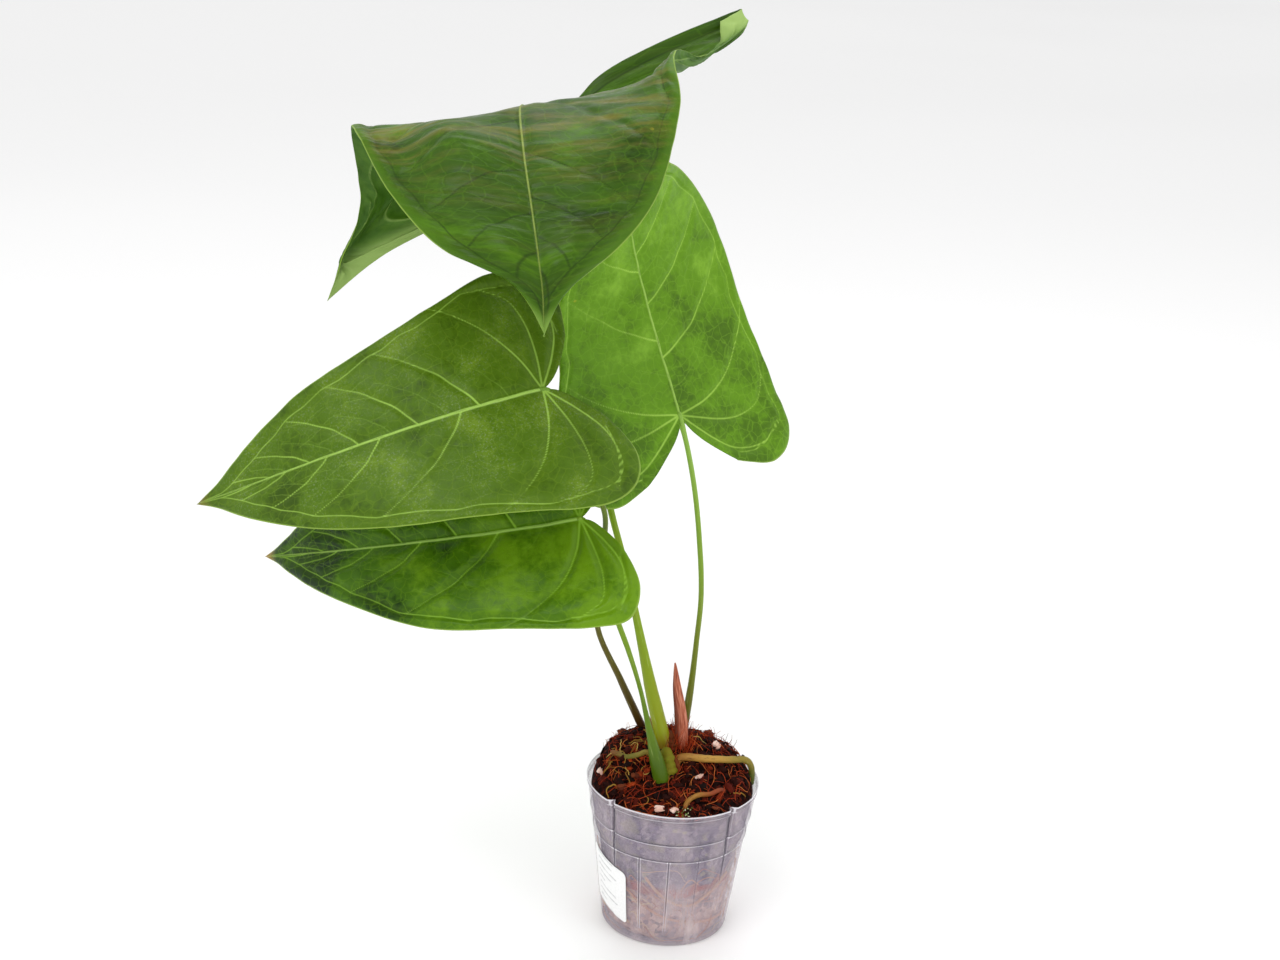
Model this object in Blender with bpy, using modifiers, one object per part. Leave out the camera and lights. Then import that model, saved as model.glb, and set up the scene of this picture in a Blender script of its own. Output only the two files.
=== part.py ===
"""Potted anthurium: four heart-shaped leaves on long stalks in a soft nursery pot.

Metres, +Z up. The origin is the middle of the pot's underside, where it stands.
The front of the plant, towards which the top leaf's tip hangs, is -Y.
"""
import math

import bpy
import bmesh
import numpy as np
from mathutils import Matrix, Vector, noise

MM = 0.001

# ---------------------------------------------------------------- driving sizes
POT_HEIGHT = 110 * MM
POT_RIM_RADIUS = 60 * MM
POT_BASE_RADIUS = 46 * MM
POT_WALL = 0.8 * MM
POT_FLOOR = 1.4 * MM
LEAF_RISE = 520 * MM          # from the pot's rim to the highest leaf lobe
BLADE_THICKNESS = 0.9 * MM
FIT_GAP = 0.3 * MM            # clearance between pieces that touch

# the pot's form
STEP_HIGH_DROP = 24 * MM      # how far its two steps lie below the rim
STEP_LOW_DROP = 38 * MM
STEP_DEPTH = 0.5 * MM
RIM_BAND = 4.2 * MM
RIM_PROUD = 0.8 * MM
PLEAT_DEPTH = 4.6 * MM        # the four folds that divide the rim into lobes
PLEAT_HALF_WIDTH = 4.0 * MM
PLEATS = 4
RIBS = 16
RIB_PROUD = 0.5 * MM
RIB_HALF_WIDTH = 1.1 * MM
RIB_FOOT = 12 * MM
DRAIN_HOLES = 8
DRAIN_HOLE_RADIUS = 3.2 * MM
DRAIN_RING_RADIUS = 31 * MM

# the mix
ROOT_SPACE = 3.0 * MM         # gap all round the root ball, where the roots circle
ROOT_CLEARANCE = 0.5 * MM     # between a circling root and what is on either side of it
MIX_EDGE_DROP = 7 * MM        # how far below the rim the mix meets the wall
MIX_EDGE_GAP = 0.7 * MM       # between the top of the root ball and the wall
MOUND_HEIGHT = 34 * MM
MOUND_MIDDLE = (-6 * MM, 16 * MM)
MOUND_SPREAD = (75 * MM, 45 * MM)
LUMP_SIZE = 11 * MM
LUMP_HEIGHT = 1.6 * MM
SOCKET_DEPTH = 9 * MM         # how deep stalks go into the mix
SHEATH_DEPTH = 5 * MM

# what grows keeps its places up to this far over the rim, and stretches above it
CROWN_RISE = 30 * MM
CROWN_BLEND = 120 * MM        # height over which it also spreads sideways
STRETCH = (LEAF_RISE - CROWN_RISE) / (520 * MM - CROWN_RISE)

# what lies on the mix keeps this far from the rim
RIM_KEEP = 4 * MM
REACH = (POT_RIM_RADIUS - RIM_KEEP) / (60 * MM - RIM_KEEP)

STEP_HIGH = POT_HEIGHT - STEP_HIGH_DROP
STEP_LOW = POT_HEIGHT - STEP_LOW_DROP
TURN = 2 * math.pi


# ---------------------------------------------------------------- helpers
def clear_scene():
    for thing in list(bpy.data.objects):
        bpy.data.objects.remove(thing, do_unlink=True)


def new_collection(name, hidden=False):
    group = bpy.data.collections.new(name)
    bpy.context.scene.collection.children.link(group)
    group.hide_render = hidden
    return group


def make_material(name, colour, roughness, metallic=0.0, transmission=0.0):
    mat = bpy.data.materials.new(name)
    mat.use_nodes = True
    shader = mat.node_tree.nodes["Principled BSDF"]
    shader.inputs["Base Color"].default_value = (*colour, 1.0)
    shader.inputs["Roughness"].default_value = roughness
    shader.inputs["Metallic"].default_value = metallic
    shader.inputs["Transmission Weight"].default_value = transmission
    mat.diffuse_color = (*colour, 1.0)
    return mat


def add_object(name, mesh, mat, group):
    thing = bpy.data.objects.new(name, mesh)
    if mat is not None:
        mesh.materials.append(mat)
    group.objects.link(thing)
    return thing


def mesh_from(name, points, faces):
    mesh = bpy.data.meshes.new(name)
    mesh.from_pydata([tuple(p) for p in points], [], faces)
    bm = bmesh.new()
    bm.from_mesh(mesh)
    bmesh.ops.remove_doubles(bm, verts=bm.verts, dist=0.00002)
    bmesh.ops.dissolve_degenerate(bm, dist=0.00001, edges=bm.edges)
    bmesh.ops.recalc_face_normals(bm, faces=bm.faces)
    bm.to_mesh(mesh)
    bm.free()
    mesh.shade_smooth()
    return mesh


def make_cutter(thing):
    thing.hide_render = True
    thing.display_type = "WIRE"


def cut(target, tools):
    for tool in tools:
        carve = target.modifiers.new("cut_" + tool.name, "BOOLEAN")
        carve.operation = "DIFFERENCE"
        carve.object = tool


def rounded_curve(knots, values, where):
    """A cubic curve through the values at the knots, read at the places in where."""
    knots = np.asarray(knots, float)
    values = np.asarray(values, float)
    where = np.asarray(where, float)
    slope = np.zeros_like(values)
    slope[0] = (values[1] - values[0]) / (knots[1] - knots[0])
    slope[-1] = (values[-1] - values[-2]) / (knots[-1] - knots[-2])
    for i in range(1, len(knots) - 1):
        before = knots[i] - knots[i - 1]
        after = knots[i + 1] - knots[i]
        rise_before = (values[i] - values[i - 1]) / before
        rise_after = (values[i + 1] - values[i]) / after
        slope[i] = (rise_before * after + rise_after * before) / (before + after)
    k = np.clip(np.searchsorted(knots, where, side="right") - 1, 0, len(knots) - 2)
    span = knots[k + 1] - knots[k]
    t = (where - knots[k]) / span
    shape = (len(where),) + (1,) * (values.ndim - 1)
    t = t.reshape(shape)
    span = span.reshape(shape)
    start = (2 * t ** 3 - 3 * t ** 2 + 1) * values[k]
    start_slope = (t ** 3 - 2 * t ** 2 + t) * span * slope[k]
    end = (3 * t ** 2 - 2 * t ** 3) * values[k + 1]
    end_slope = (t ** 3 - t ** 2) * span * slope[k + 1]
    return start + start_slope + end + end_slope


def grown(point):
    """A place on the plant, given in mm from the middle of the pot's rim."""
    x, y, z = (value * MM for value in point)
    above = max(0.0, z - CROWN_RISE)
    wider = 1 + (STRETCH - 1) * min(1.0, above / CROWN_BLEND)
    return np.array([x * wider, y * wider, POT_HEIGHT + min(z, CROWN_RISE) + above * STRETCH])


def on_mix(point):
    """A place given in mm from the pot's axis and over the mix's smooth surface."""
    x, y, rise = (value * MM for value in point)
    x *= REACH
    y *= REACH
    return np.array([x, y, mound(x, y) + rise])


def foot_on_mix(place, depth):
    """Where a stalk or sheath stands, this deep in the mix."""
    x, y = (value * MM for value in place)
    return np.array([x, y, mix_top(x, y) - depth])


def smooth_route(points, count):
    """Evenly read points along a smooth curve through the given ones."""
    points = np.asarray(points, float)
    steps = np.linalg.norm(np.diff(points, axis=0), axis=1)
    along = np.concatenate([[0], np.cumsum(steps)])
    return rounded_curve(along, points, np.linspace(0, along[-1], count))


def tube(name, route, radii, mat, group, sides=1):
    """A round stalk or root along a route, with closed ends, as a mesh."""
    curve = bpy.data.curves.new(name, "CURVE")
    curve.dimensions = "3D"
    curve.bevel_depth = 1.0
    curve.bevel_resolution = sides
    curve.use_fill_caps = True
    spline = curve.splines.new("POLY")
    spline.points.add(len(route) - 1)
    for spot, place, radius in zip(spline.points, route, radii):
        spot.co = (*place, 1.0)
        spot.radius = radius
    holder = bpy.data.objects.new(name + "_curve", curve)
    group.objects.link(holder)
    bpy.context.view_layer.update()
    graph = bpy.context.evaluated_depsgraph_get()
    mesh = bpy.data.meshes.new_from_object(holder.evaluated_get(graph))
    mesh.name = name
    bm = bmesh.new()
    bm.from_mesh(mesh)
    bmesh.ops.remove_doubles(bm, verts=bm.verts, dist=0.00001)
    bmesh.ops.recalc_face_normals(bm, faces=bm.faces)
    bm.to_mesh(mesh)
    bm.free()
    mesh.materials.clear()
    bpy.data.objects.remove(holder, do_unlink=True)
    mesh.shade_smooth()
    return add_object(name, mesh, mat, group)


# ---------------------------------------------------------------- the pot's surface
def pleat(angle, height):
    """How far the wall is folded inwards at this angle and height."""
    deep = max(0.0, (height - STEP_LOW) / (POT_HEIGHT - STEP_LOW))
    radius = POT_BASE_RADIUS + (POT_RIM_RADIUS - POT_BASE_RADIUS) * height / POT_HEIGHT
    sector = TURN / PLEATS
    off = (angle - sector / 2) % sector
    off = min(off, sector - off) * radius
    reach = max(0.0, 1 - off / PLEAT_HALF_WIDTH)
    return PLEAT_DEPTH * deep ** 0.8 * reach


def wall_radius(angle, height):
    """Outer radius of the plain wall, without its ribs and rim band."""
    radius = POT_BASE_RADIUS + (POT_RIM_RADIUS - POT_BASE_RADIUS) * height / POT_HEIGHT
    if height < STEP_HIGH + 0.4 * MM:
        radius -= STEP_DEPTH
    if height < STEP_LOW + 0.4 * MM:
        radius -= STEP_DEPTH
    return radius - pleat(angle, height)


def rib(angle, height):
    sector = TURN / RIBS
    off = angle % sector
    off = min(off, sector - off)
    top = STEP_LOW - 2.2 * MM
    if height < RIB_FOOT or height > top or off > 0.001:
        return 0.0
    return RIB_PROUD


def wall_angles():
    """Angles that follow every rib and every fold of the wall."""
    found = []
    for i in range(RIBS):
        middle = TURN * i / RIBS
        reach = RIB_HALF_WIDTH / POT_BASE_RADIUS
        found += [middle - reach, middle, middle + reach]
        found += [middle + TURN / RIBS / 3, middle + TURN / RIBS * 2 / 3]
    for i in range(PLEATS):
        middle = TURN * (i + 0.5) / PLEATS
        reach = PLEAT_HALF_WIDTH / POT_RIM_RADIUS
        found += [middle - reach, middle + reach]
    return sorted(a % TURN for a in found)


def ring_surface(rings, angles, closed_bottom=True, closed_top=True):
    """Points and faces through rings, each a list of one place per angle."""
    count = len(angles)
    points = [p for ring in rings for p in ring]
    faces = []
    for i in range(len(rings) - 1):
        for j in range(count):
            k = (j + 1) % count
            a = i * count
            b = a + count
            faces.append((a + j, a + k, b + k, b + j))
    for closed, first in ((closed_bottom, 0), (closed_top, (len(rings) - 1) * count)):
        if closed:
            ring = points[first:first + count]
            centre = tuple(sum(p[i] for p in ring) / count for i in range(3))
            points.append(centre)
            middle = len(points) - 1
            for j in range(count):
                faces.append((first + j, first + (j + 1) % count, middle))
    return points, faces


def build_pot(mat, group, cutters):
    angles = wall_angles()
    low = STEP_LOW
    high = STEP_HIGH
    turn_height = 1.6 * MM
    outside = [
        (0.0, -1.3 * MM), (turn_height, 0.0), (RIB_FOOT - 0.1 * MM, 0.0), (RIB_FOOT + 2.0 * MM, 0.0),
        (low - 4.5 * MM, 0.0), (low - 1.5 * MM, 0.0), (low, 0.0), (low + 0.8 * MM, 0.0),
        (high, 0.0), (high + 0.8 * MM, 0.0), (POT_HEIGHT - RIM_BAND, 0.0),
        (POT_HEIGHT - RIM_BAND + 0.6 * MM, RIM_PROUD), (POT_HEIGHT - 0.4 * MM, RIM_PROUD),
        (POT_HEIGHT, RIM_PROUD - 0.4 * MM),
    ]
    inside = [POT_HEIGHT, high + 0.8 * MM, high, low + 0.8 * MM, low, POT_FLOOR + 1.5 * MM]
    rings = []
    for height, proud in outside:
        ring = []
        for angle in angles:
            radius = wall_radius(angle, height) + proud + rib(angle, height)
            ring.append((radius * math.cos(angle), radius * math.sin(angle), height))
        rings.append(ring)
    for height in inside:
        ring = []
        for angle in angles:
            radius = wall_radius(angle, height) - POT_WALL
            ring.append((radius * math.cos(angle), radius * math.sin(angle), height))
        rings.append(ring)
    floor_ring = []
    for angle in angles:
        radius = wall_radius(angle, POT_FLOOR) - POT_WALL - 1.2 * MM
        floor_ring.append((radius * math.cos(angle), radius * math.sin(angle), POT_FLOOR))
    rings.append(floor_ring)
    points, faces = ring_surface(rings, angles)
    pot = add_object("nursery_pot", mesh_from("nursery_pot", points, faces), mat, group)
    holes = []
    for i in range(DRAIN_HOLES):
        angle = TURN * (i + 0.5) / DRAIN_HOLES
        place = (DRAIN_RING_RADIUS * math.cos(angle), DRAIN_RING_RADIUS * math.sin(angle), POT_FLOOR / 2)
        bpy.ops.mesh.primitive_cylinder_add(
            vertices=12, radius=DRAIN_HOLE_RADIUS, depth=POT_FLOOR * 4, location=place)
        hole = bpy.context.object
        hole.name = "drain_hole_cutter_%d" % i
        for old in list(hole.users_collection):
            old.objects.unlink(hole)
        cutters.objects.link(hole)
        make_cutter(hole)
        holes.append(hole)
    cut(pot, holes)
    return pot


LABEL_FROM = math.radians(194)
LABEL_TO = math.radians(236)
LABEL_TALL = 42 * MM
LABEL_SLANT = 9 * MM
LABEL_THICKNESS = 0.25 * MM


def build_label(mat, group):
    """A blank sticker bent round the wall, lying over its ribs."""
    across = 10
    up = 6
    points = []
    faces = []
    bottom = (RIB_FOOT + STEP_LOW - LABEL_TALL) / 2 - 4 * MM
    row = LABEL_TALL / up
    taper = (POT_RIM_RADIUS - POT_BASE_RADIUS) / POT_HEIGHT
    for i in range(up + 1):
        for j in range(across + 1):
            angle = LABEL_FROM + (LABEL_TO - LABEL_FROM) * j / across
            height = bottom + row * i - LABEL_SLANT * (j / across - 0.5)
            wall = max(wall_radius(0.0, height), wall_radius(0.0, height + row) - taper * row)
            radius = wall + RIB_PROUD + FIT_GAP + LABEL_THICKNESS
            points.append((radius * math.cos(angle), radius * math.sin(angle), height))
    for i in range(up):
        for j in range(across):
            a = i * (across + 1) + j
            faces.append((a, a + 1, a + across + 2, a + across + 1))
    label = add_object("pot_label", mesh_from("pot_label", points, faces), mat, group)
    skin = label.modifiers.new("thickness", "SOLIDIFY")
    skin.thickness = LABEL_THICKNESS
    skin.offset = 0.0
    return label


# ---------------------------------------------------------------- the mix
def mound(x, y):
    """Height of the mix's smooth surface over the pot's floor."""
    edge = POT_HEIGHT - MIX_EDGE_DROP
    inner = POT_RIM_RADIUS - MIX_EDGE_GAP - POT_WALL
    dx = (x - MOUND_MIDDLE[0]) / MOUND_SPREAD[0]
    dy = (y - MOUND_MIDDLE[1]) / MOUND_SPREAD[1]
    out = min(1.0, math.hypot(x, y) / inner)
    return edge + MOUND_HEIGHT * math.exp(-(dx * dx + dy * dy)) * (1 - out ** 12)


def mix_top(x, y):
    """The same surface with its lumps, calm at the edge."""
    out = min(1.0, math.hypot(x, y) / (POT_RIM_RADIUS - MIX_EDGE_GAP - POT_WALL))
    lump = noise.noise(Vector((x / LUMP_SIZE, y / LUMP_SIZE, 4.2)))
    return mound(x, y) + LUMP_HEIGHT * lump * (1 - out ** 4)


def build_mix(mat, group):
    angles = wall_angles()
    low = STEP_LOW
    edge = POT_HEIGHT - MIX_EDGE_DROP
    side = [
        (POT_FLOOR + FIT_GAP, ROOT_SPACE + 3 * MM), (POT_FLOOR + 5 * MM, ROOT_SPACE),
        (low - 4 * MM, ROOT_SPACE), (low - 1.0 * MM, 0.6 * MM), (low + 0.8 * MM, 0.9 * MM),
        (STEP_HIGH + 0.8 * MM, 1.0 * MM), (edge, MIX_EDGE_GAP),
    ]
    rings = []
    for height, gap in side:
        ring = []
        for angle in angles:
            radius = wall_radius(angle, height) - POT_WALL - gap
            ring.append((radius * math.cos(angle), radius * math.sin(angle), height))
        rings.append(ring)
    for share in (0.97, 0.93, 0.88, 0.81, 0.72, 0.60, 0.47, 0.34, 0.20, 0.08):
        ring = []
        for angle in angles:
            radius = (wall_radius(angle, edge) - POT_WALL - MIX_EDGE_GAP) * share
            x = radius * math.cos(angle)
            y = radius * math.sin(angle)
            ring.append((x, y, mix_top(x, y)))
        rings.append(ring)
    points, faces = ring_surface(rings, angles)
    return add_object("potting_mix", mesh_from("potting_mix", points, faces), mat, group)


# chips of bark and wood lying on the mix: x, y (mm), length, width, height (mm), turn and tilt (deg)
CHIPS = (
    (30, 11, 9, 6, 4.0, 70, 30), (18, -19, 8, 5, 3.5, 60, -25), (-51, -11, 9, 5, 3.0, 80, 25),
    (-9, -47, 8, 6, 4.0, 10, 10), (1, -47, 6, 5, 3.5, 130, -20), (-35, -29, 9, 5, 3.0, 40, 15),
    (29, -41, 8, 5, 3.5, 150, 18), (-27, -21, 8, 5, 4.0, 100, -12), (25, 36, 10, 6, 4.5, 50, 24),
    (-38, 28, 9, 6, 4.0, 120, -22),
)
CHIP_LIFT = 0.5 * MM          # the mix is faceted, so the chips sit a little clear of it


def build_chips(mat, group):
    """The loose chips, each resting on the mix."""
    for number, chip in enumerate(CHIPS, 1):
        length, width, tall = (value * MM for value in chip[2:5])
        x, y = (value * MM * REACH for value in chip[:2])
        turn, tilt = chip[5:]
        piece = bmesh.new()
        bmesh.ops.create_cube(piece, size=1.0)
        bmesh.ops.bevel(piece, geom=piece.edges[:], offset=0.16, segments=1, affect="EDGES")
        for vert in piece.verts:
            vert.co.x *= length * (1 + 0.25 * vert.co.y)
            vert.co.y *= width
            vert.co.z *= tall
        lean = math.radians(tilt)
        spin = math.radians(turn)
        bmesh.ops.rotate(piece, verts=piece.verts, matrix=rotation(lean, spin))
        lift = 0.0
        for vert in piece.verts:
            under = mix_top(x + vert.co.x, y + vert.co.y) - vert.co.z
            lift = max(lift, under)
        name = "bark_chip_%d" % number
        mesh = bpy.data.meshes.new(name)
        piece.to_mesh(mesh)
        piece.free()
        chip_object = add_object(name, mesh, mat, group)
        chip_object.location = (x, y, lift + CHIP_LIFT)


def rotation(lean, spin):
    """Lean about X, then a turn about Z, as a 3 x 3 matrix."""
    return Matrix.Rotation(spin, 3, "Z") @ Matrix.Rotation(lean, 3, "X")


# ---------------------------------------------------------------- leaf blades
# The flat outline: places along the midrib (petiole 0, tip 1) of ten stations
# from the end of the basal lobe to the tip, as parts of the blade's length.
STATIONS = (-0.28, -0.275, -0.17, 0.02, 0.22, 0.42, 0.62, 0.80, 0.92, 1.0)
MIDRIB_EASE = 1.25

# Each bowed blade: where its stalk meets it, the way it points, its length, how far its
# lobes reach back, its half widths at the stations on either side, and how it bends.
# Bends are in degrees over the blade's length, at its base, middle and tip.
BOWED = {
    "leaf_blade_left": dict(
        at=(-102, -34, 290), heading=211, rise=-8, roll=-48, length=258, lobe=0.53,
        bend=(53, 70, 29), veer=(-7, -23), twist=(-4, -4),
        right=dict(widths=(0.137, 0.245, 0.33, 0.347, 0.286, 0.227, 0.173, 0.091, 0.029, 0),
                   fold=(-4, 5), droop=0, spread=-2, turn=0),
        left=dict(widths=(0.139, 0.254, 0.336, 0.354, 0.295, 0.245, 0.176, 0.092, 0.029, 0),
                  fold=(10, 6), droop=5, spread=13, turn=-2)),
    "leaf_blade_low": dict(
        at=(-74, -35, 203), heading=192, rise=-11, roll=-59, length=247, lobe=0.43,
        bend=(16, 69, 39), veer=(-19, -5), twist=(-6, -3),
        right=dict(widths=(0.125, 0.226, 0.304, 0.323, 0.293, 0.238, 0.165, 0.088, 0.028, 0),
                   fold=(-5, 14), droop=0, spread=0, turn=1),
        left=dict(widths=(0.125, 0.226, 0.31, 0.317, 0.275, 0.24, 0.16, 0.085, 0.027, 0),
                  fold=(17, 9), droop=-3, spread=-7, turn=0)),
    "leaf_blade_right": dict(
        at=(-11, 58, 250), heading=135, rise=62, roll=-20, length=244, lobe=0.70,
        bend=(-14, -127, -4), veer=(22, 45), twist=(-3, -3),
        right=dict(widths=(0.167, 0.308, 0.396, 0.395, 0.347, 0.312, 0.218, 0.114, 0.036, 0),
                   fold=(-18, -7), droop=-10, spread=2, turn=-10),
        left=dict(widths=(0.167, 0.297, 0.396, 0.412, 0.336, 0.291, 0.208, 0.109, 0.035, 0),
                  fold=(8, 8), droop=13, spread=19, turn=1)),
}
REFERENCE_HALF_WIDTH = 0.33

# The arched top blade is lofted through ten ribs, in mm from the middle of the pot's rim.
# A rib runs from the midrib to the margin, with two places between.
ARCH_ALONG = (0, 0.12, 0.24, 0.36, 0.50, 0.66, 0.80, 0.90, 0.95, 1.0)
ARCH_ACROSS = (0, 0.35, 0.70, 1.0)
ARCH_MIDRIB = ((-116, 75, 413), (-118, 52, 435), (-120, 22, 456), (-125, -12, 466), (-119, -55, 446),
               (-111, -86, 419), (-104, -108, 392), (-100, -116, 371), (-99, -118, 360), (-98, -117, 346))
ARCH_RIGHT = (
    ((-157, 72, 385), (-217, 48, 353), (-252, 22, 325)),
    ((-163, 72, 394), (-240, 44, 351), (-232, 30, 348)),
    ((-168, 60, 414), (-207, 66, 400), (-233, 38, 387)),
    ((-169, 5, 450), (-206, 10, 444), (-234, 8, 440)),
    ((-164, -45, 453), (-198, -38, 441), (-225, -25, 445)),
    ((-147, -84, 419), (-176, -75, 416), (-200, -62, 417)),
    ((-124, -110, 396), (-143, -106, 390), (-160, -98, 389)),
    ((-106, -116, 373), (-112, -114, 372), (-119, -110, 374)),
    ((-101, -118, 361), (-104, -117, 361), (-107, -115, 362)),
    ((-98, -117, 346), (-98, -117, 346), (-98, -117, 346)),
)
ARCH_LEFT = (
    ((-80, 96, 474), (11, 128, 520), (-1, 114, 513)),
    ((-67, 84, 466), (14, 116, 507), (-1, 100, 498)),
    ((-77, 62, 466), (-20, 64, 488), (-14, 60, 496)),
    ((-83, 10, 470), (-48, 12, 484), (-31, 20, 503)),
    ((-76, -52, 454), (-46, -40, 466), (-25, -24, 475)),
    ((-76, -88, 421), (-53, -78, 424), (-36, -66, 425)),
    ((-88, -110, 397), (-74, -108, 395), (-59, -100, 396)),
    ((-95, -116, 373), (-89, -114, 373), (-83, -110, 375)),
    ((-96, -118, 362), (-93, -117, 362), (-91, -115, 364)),
    ((-98, -117, 346), (-98, -117, 346), (-98, -117, 346)),
)


def turned(vector, axis, angle):
    axis = axis / np.linalg.norm(axis)
    straight = vector * math.cos(angle)
    across = np.cross(axis, vector) * math.sin(angle)
    along = axis * np.dot(axis, vector) * (1 - math.cos(angle))
    return straight + across + along


def flat_half(widths, lobe, along, across):
    """Places of one flat half blade: rows leave the midrib and curve out to the margin."""
    stations = np.array([s * lobe if s < 0 else s for s in STATIONS])
    outline = np.stack([stations, np.array(widths)], axis=1)
    knots = np.linspace(0, 1, len(stations))
    edge = rounded_curve(knots, outline, along)[:, None, :]
    start = along ** MIDRIB_EASE
    near_lobe = 1 - along
    bow_along = start + 0.10 * along * near_lobe - 0.10 * near_lobe ** 4 * lobe
    bow_across = (0.5 - 0.42 * near_lobe ** 6) * edge[:, 0, 1]
    middle = np.stack([start, 0 * start], axis=1)[:, None, :]
    bow = np.stack([bow_along, bow_across], axis=1)[:, None, :]
    t = across[None, :, None]
    return (1 - t) ** 2 * middle + 2 * t * (1 - t) * bow + t ** 2 * edge


def frame_chain(place, pointing, upper, length, steps, reach, rates):
    """Frames carried along a bending line: share of length, place, direction, upper side."""
    chain = []
    step = reach / steps
    sign = 1 if reach > 0 else -1
    for i in range(steps + 1):
        chain.append((i * step, place, pointing, upper))
        bend, veer, twist = rates(abs(i * step))
        sideways = np.cross(pointing, upper)
        drop = math.radians(-bend * abs(step)) * sign
        ahead = turned(pointing, sideways, drop)
        above = turned(upper, sideways, drop)
        ahead = turned(ahead, above, math.radians(veer * abs(step)))
        above = turned(above, ahead, math.radians(twist * abs(step)))
        place = place + 0.5 * (pointing + ahead) * step * length
        pointing = ahead
        upper = above
    return chain


def read_chain(chain, along):
    marks = np.array([c[0] for c in chain])
    order = np.argsort(marks)
    found = []
    for k in (1, 2, 3):
        rows = np.array([c[k] for c in chain])[order]
        found.append(np.stack([np.interp(along, marks[order], rows[:, i]) for i in range(3)], axis=1))
    return found


def unit(vector):
    return vector / np.linalg.norm(vector)


def blade_base(name):
    """Where a blade meets its stalk, the way its midrib sets off, and its upper side."""
    if name in BOWED:
        leaf = BOWED[name]
        heading = math.radians(leaf["heading"])
        rise = math.radians(leaf["rise"])
        level = math.cos(rise)
        pointing = np.array([level * math.cos(heading), level * math.sin(heading), math.sin(rise)])
        upper = unit(np.array([0, 0, 1.0]) - pointing * pointing[2])
        return grown(leaf["at"]), pointing, turned(upper, pointing, math.radians(leaf["roll"]))
    place = grown(ARCH_MIDRIB[0])
    pointing = unit(grown(ARCH_MIDRIB[1]) - place)
    right = np.cross(grown(ARCH_RIGHT[0][0]) - place, pointing)
    left = np.cross(pointing, grown(ARCH_LEFT[0][0]) - place)
    return place, pointing, unit(unit(right) + unit(left))


def bowed_half(name, side, flat):
    """Lay a flat half blade along the bending midrib, folded at the midrib."""
    leaf = BOWED[name]
    half = leaf[side]
    length = leaf["length"] * MM * STRETCH
    place, pointing, upper = blade_base(name)
    sign = 1 if side == "right" else -1

    def midrib_rates(a):
        b0, b1, b2 = leaf["bend"]
        bend = b0 * (1 - a) * (1 - 2 * a) + 4 * b1 * a * (1 - a) + b2 * a * (2 * a - 1)
        veer = leaf["veer"][0] * (1 - a) + leaf["veer"][1] * a
        twist = leaf["twist"][0] * (1 - a) + leaf["twist"][1] * a
        return bend, veer, twist

    def lobe_rates(a):
        return half["droop"], -sign * half["spread"], sign * half["turn"]

    midrib = frame_chain(place, pointing, upper, length, 24, 1.0, midrib_rates)
    lobe = frame_chain(place, pointing, upper, length, 10, -0.5, lobe_rates)
    a = flat[..., 0].ravel()
    b = flat[..., 1].ravel() * length
    ahead = read_chain(midrib, np.clip(a, 0, 1))
    behind = read_chain(lobe, np.clip(a, -0.5, 0))
    in_lobe = (a < 0)[:, None]
    spot, along, above = (np.where(in_lobe, x, y) for x, y in zip(behind, ahead))
    along = along / np.linalg.norm(along, axis=1, keepdims=True)
    above = above / np.linalg.norm(above, axis=1, keepdims=True)
    out = np.cross(along, above) * sign
    share = np.clip(a, 0, 1)
    fold = np.radians(half["fold"][0] * (1 - share) + half["fold"][1] * share)
    lifted = (b * np.sin(fold))[:, None] * above
    spread = (b * np.cos(fold))[:, None] * out
    return (spot + spread + lifted).reshape(flat.shape[:-1] + (3,))


def arched_half(side, along, across):
    """One half of the top blade, lofted through its ribs."""
    ribs = ARCH_RIGHT if side == "right" else ARCH_LEFT
    net = [[grown(m)] + [grown(p) for p in rib_points] for m, rib_points in zip(ARCH_MIDRIB, ribs)]
    rows = rounded_curve(ARCH_ALONG, np.array(net), along)
    columns = rounded_curve(ARCH_ACROSS, np.swapaxes(rows, 0, 1), across)
    return np.swapaxes(columns, 0, 1)


def blade_surface(name, side, along, across):
    if name in BOWED:
        leaf = BOWED[name]
        flat = flat_half(leaf[side]["widths"], leaf["lobe"], along, across)
        return bowed_half(name, side, flat)
    return arched_half(side, along, across)


def build_blade(name, rows, columns, mat, group):
    along = np.linspace(0, 1, rows)
    across = np.linspace(0, 1, columns)
    points = []
    faces = []
    for side, flip in (("right", False), ("left", True)):
        surface = blade_surface(name, side, along, across)
        first = len(points)
        points += [tuple(p) for row in surface for p in row]
        for i in range(rows - 1):
            for j in range(columns - 1):
                a = first + i * columns + j
                corners = (a, a + columns, a + columns + 1, a + 1)
                faces.append(corners[::-1] if flip else corners)
    mesh = bpy.data.meshes.new(name)
    mesh.from_pydata(points, [], faces)
    bm = bmesh.new()
    bm.from_mesh(mesh)
    bmesh.ops.remove_doubles(bm, verts=bm.verts, dist=0.0001)
    bmesh.ops.dissolve_degenerate(bm, dist=0.0001, edges=bm.edges)
    bm.to_mesh(mesh)
    bm.free()
    mesh.shade_smooth()
    blade = add_object(name, mesh, mat, group)
    skin = blade.modifiers.new("thickness", "SOLIDIFY")
    skin.thickness = BLADE_THICKNESS
    skin.offset = 0.0
    return blade


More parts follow.
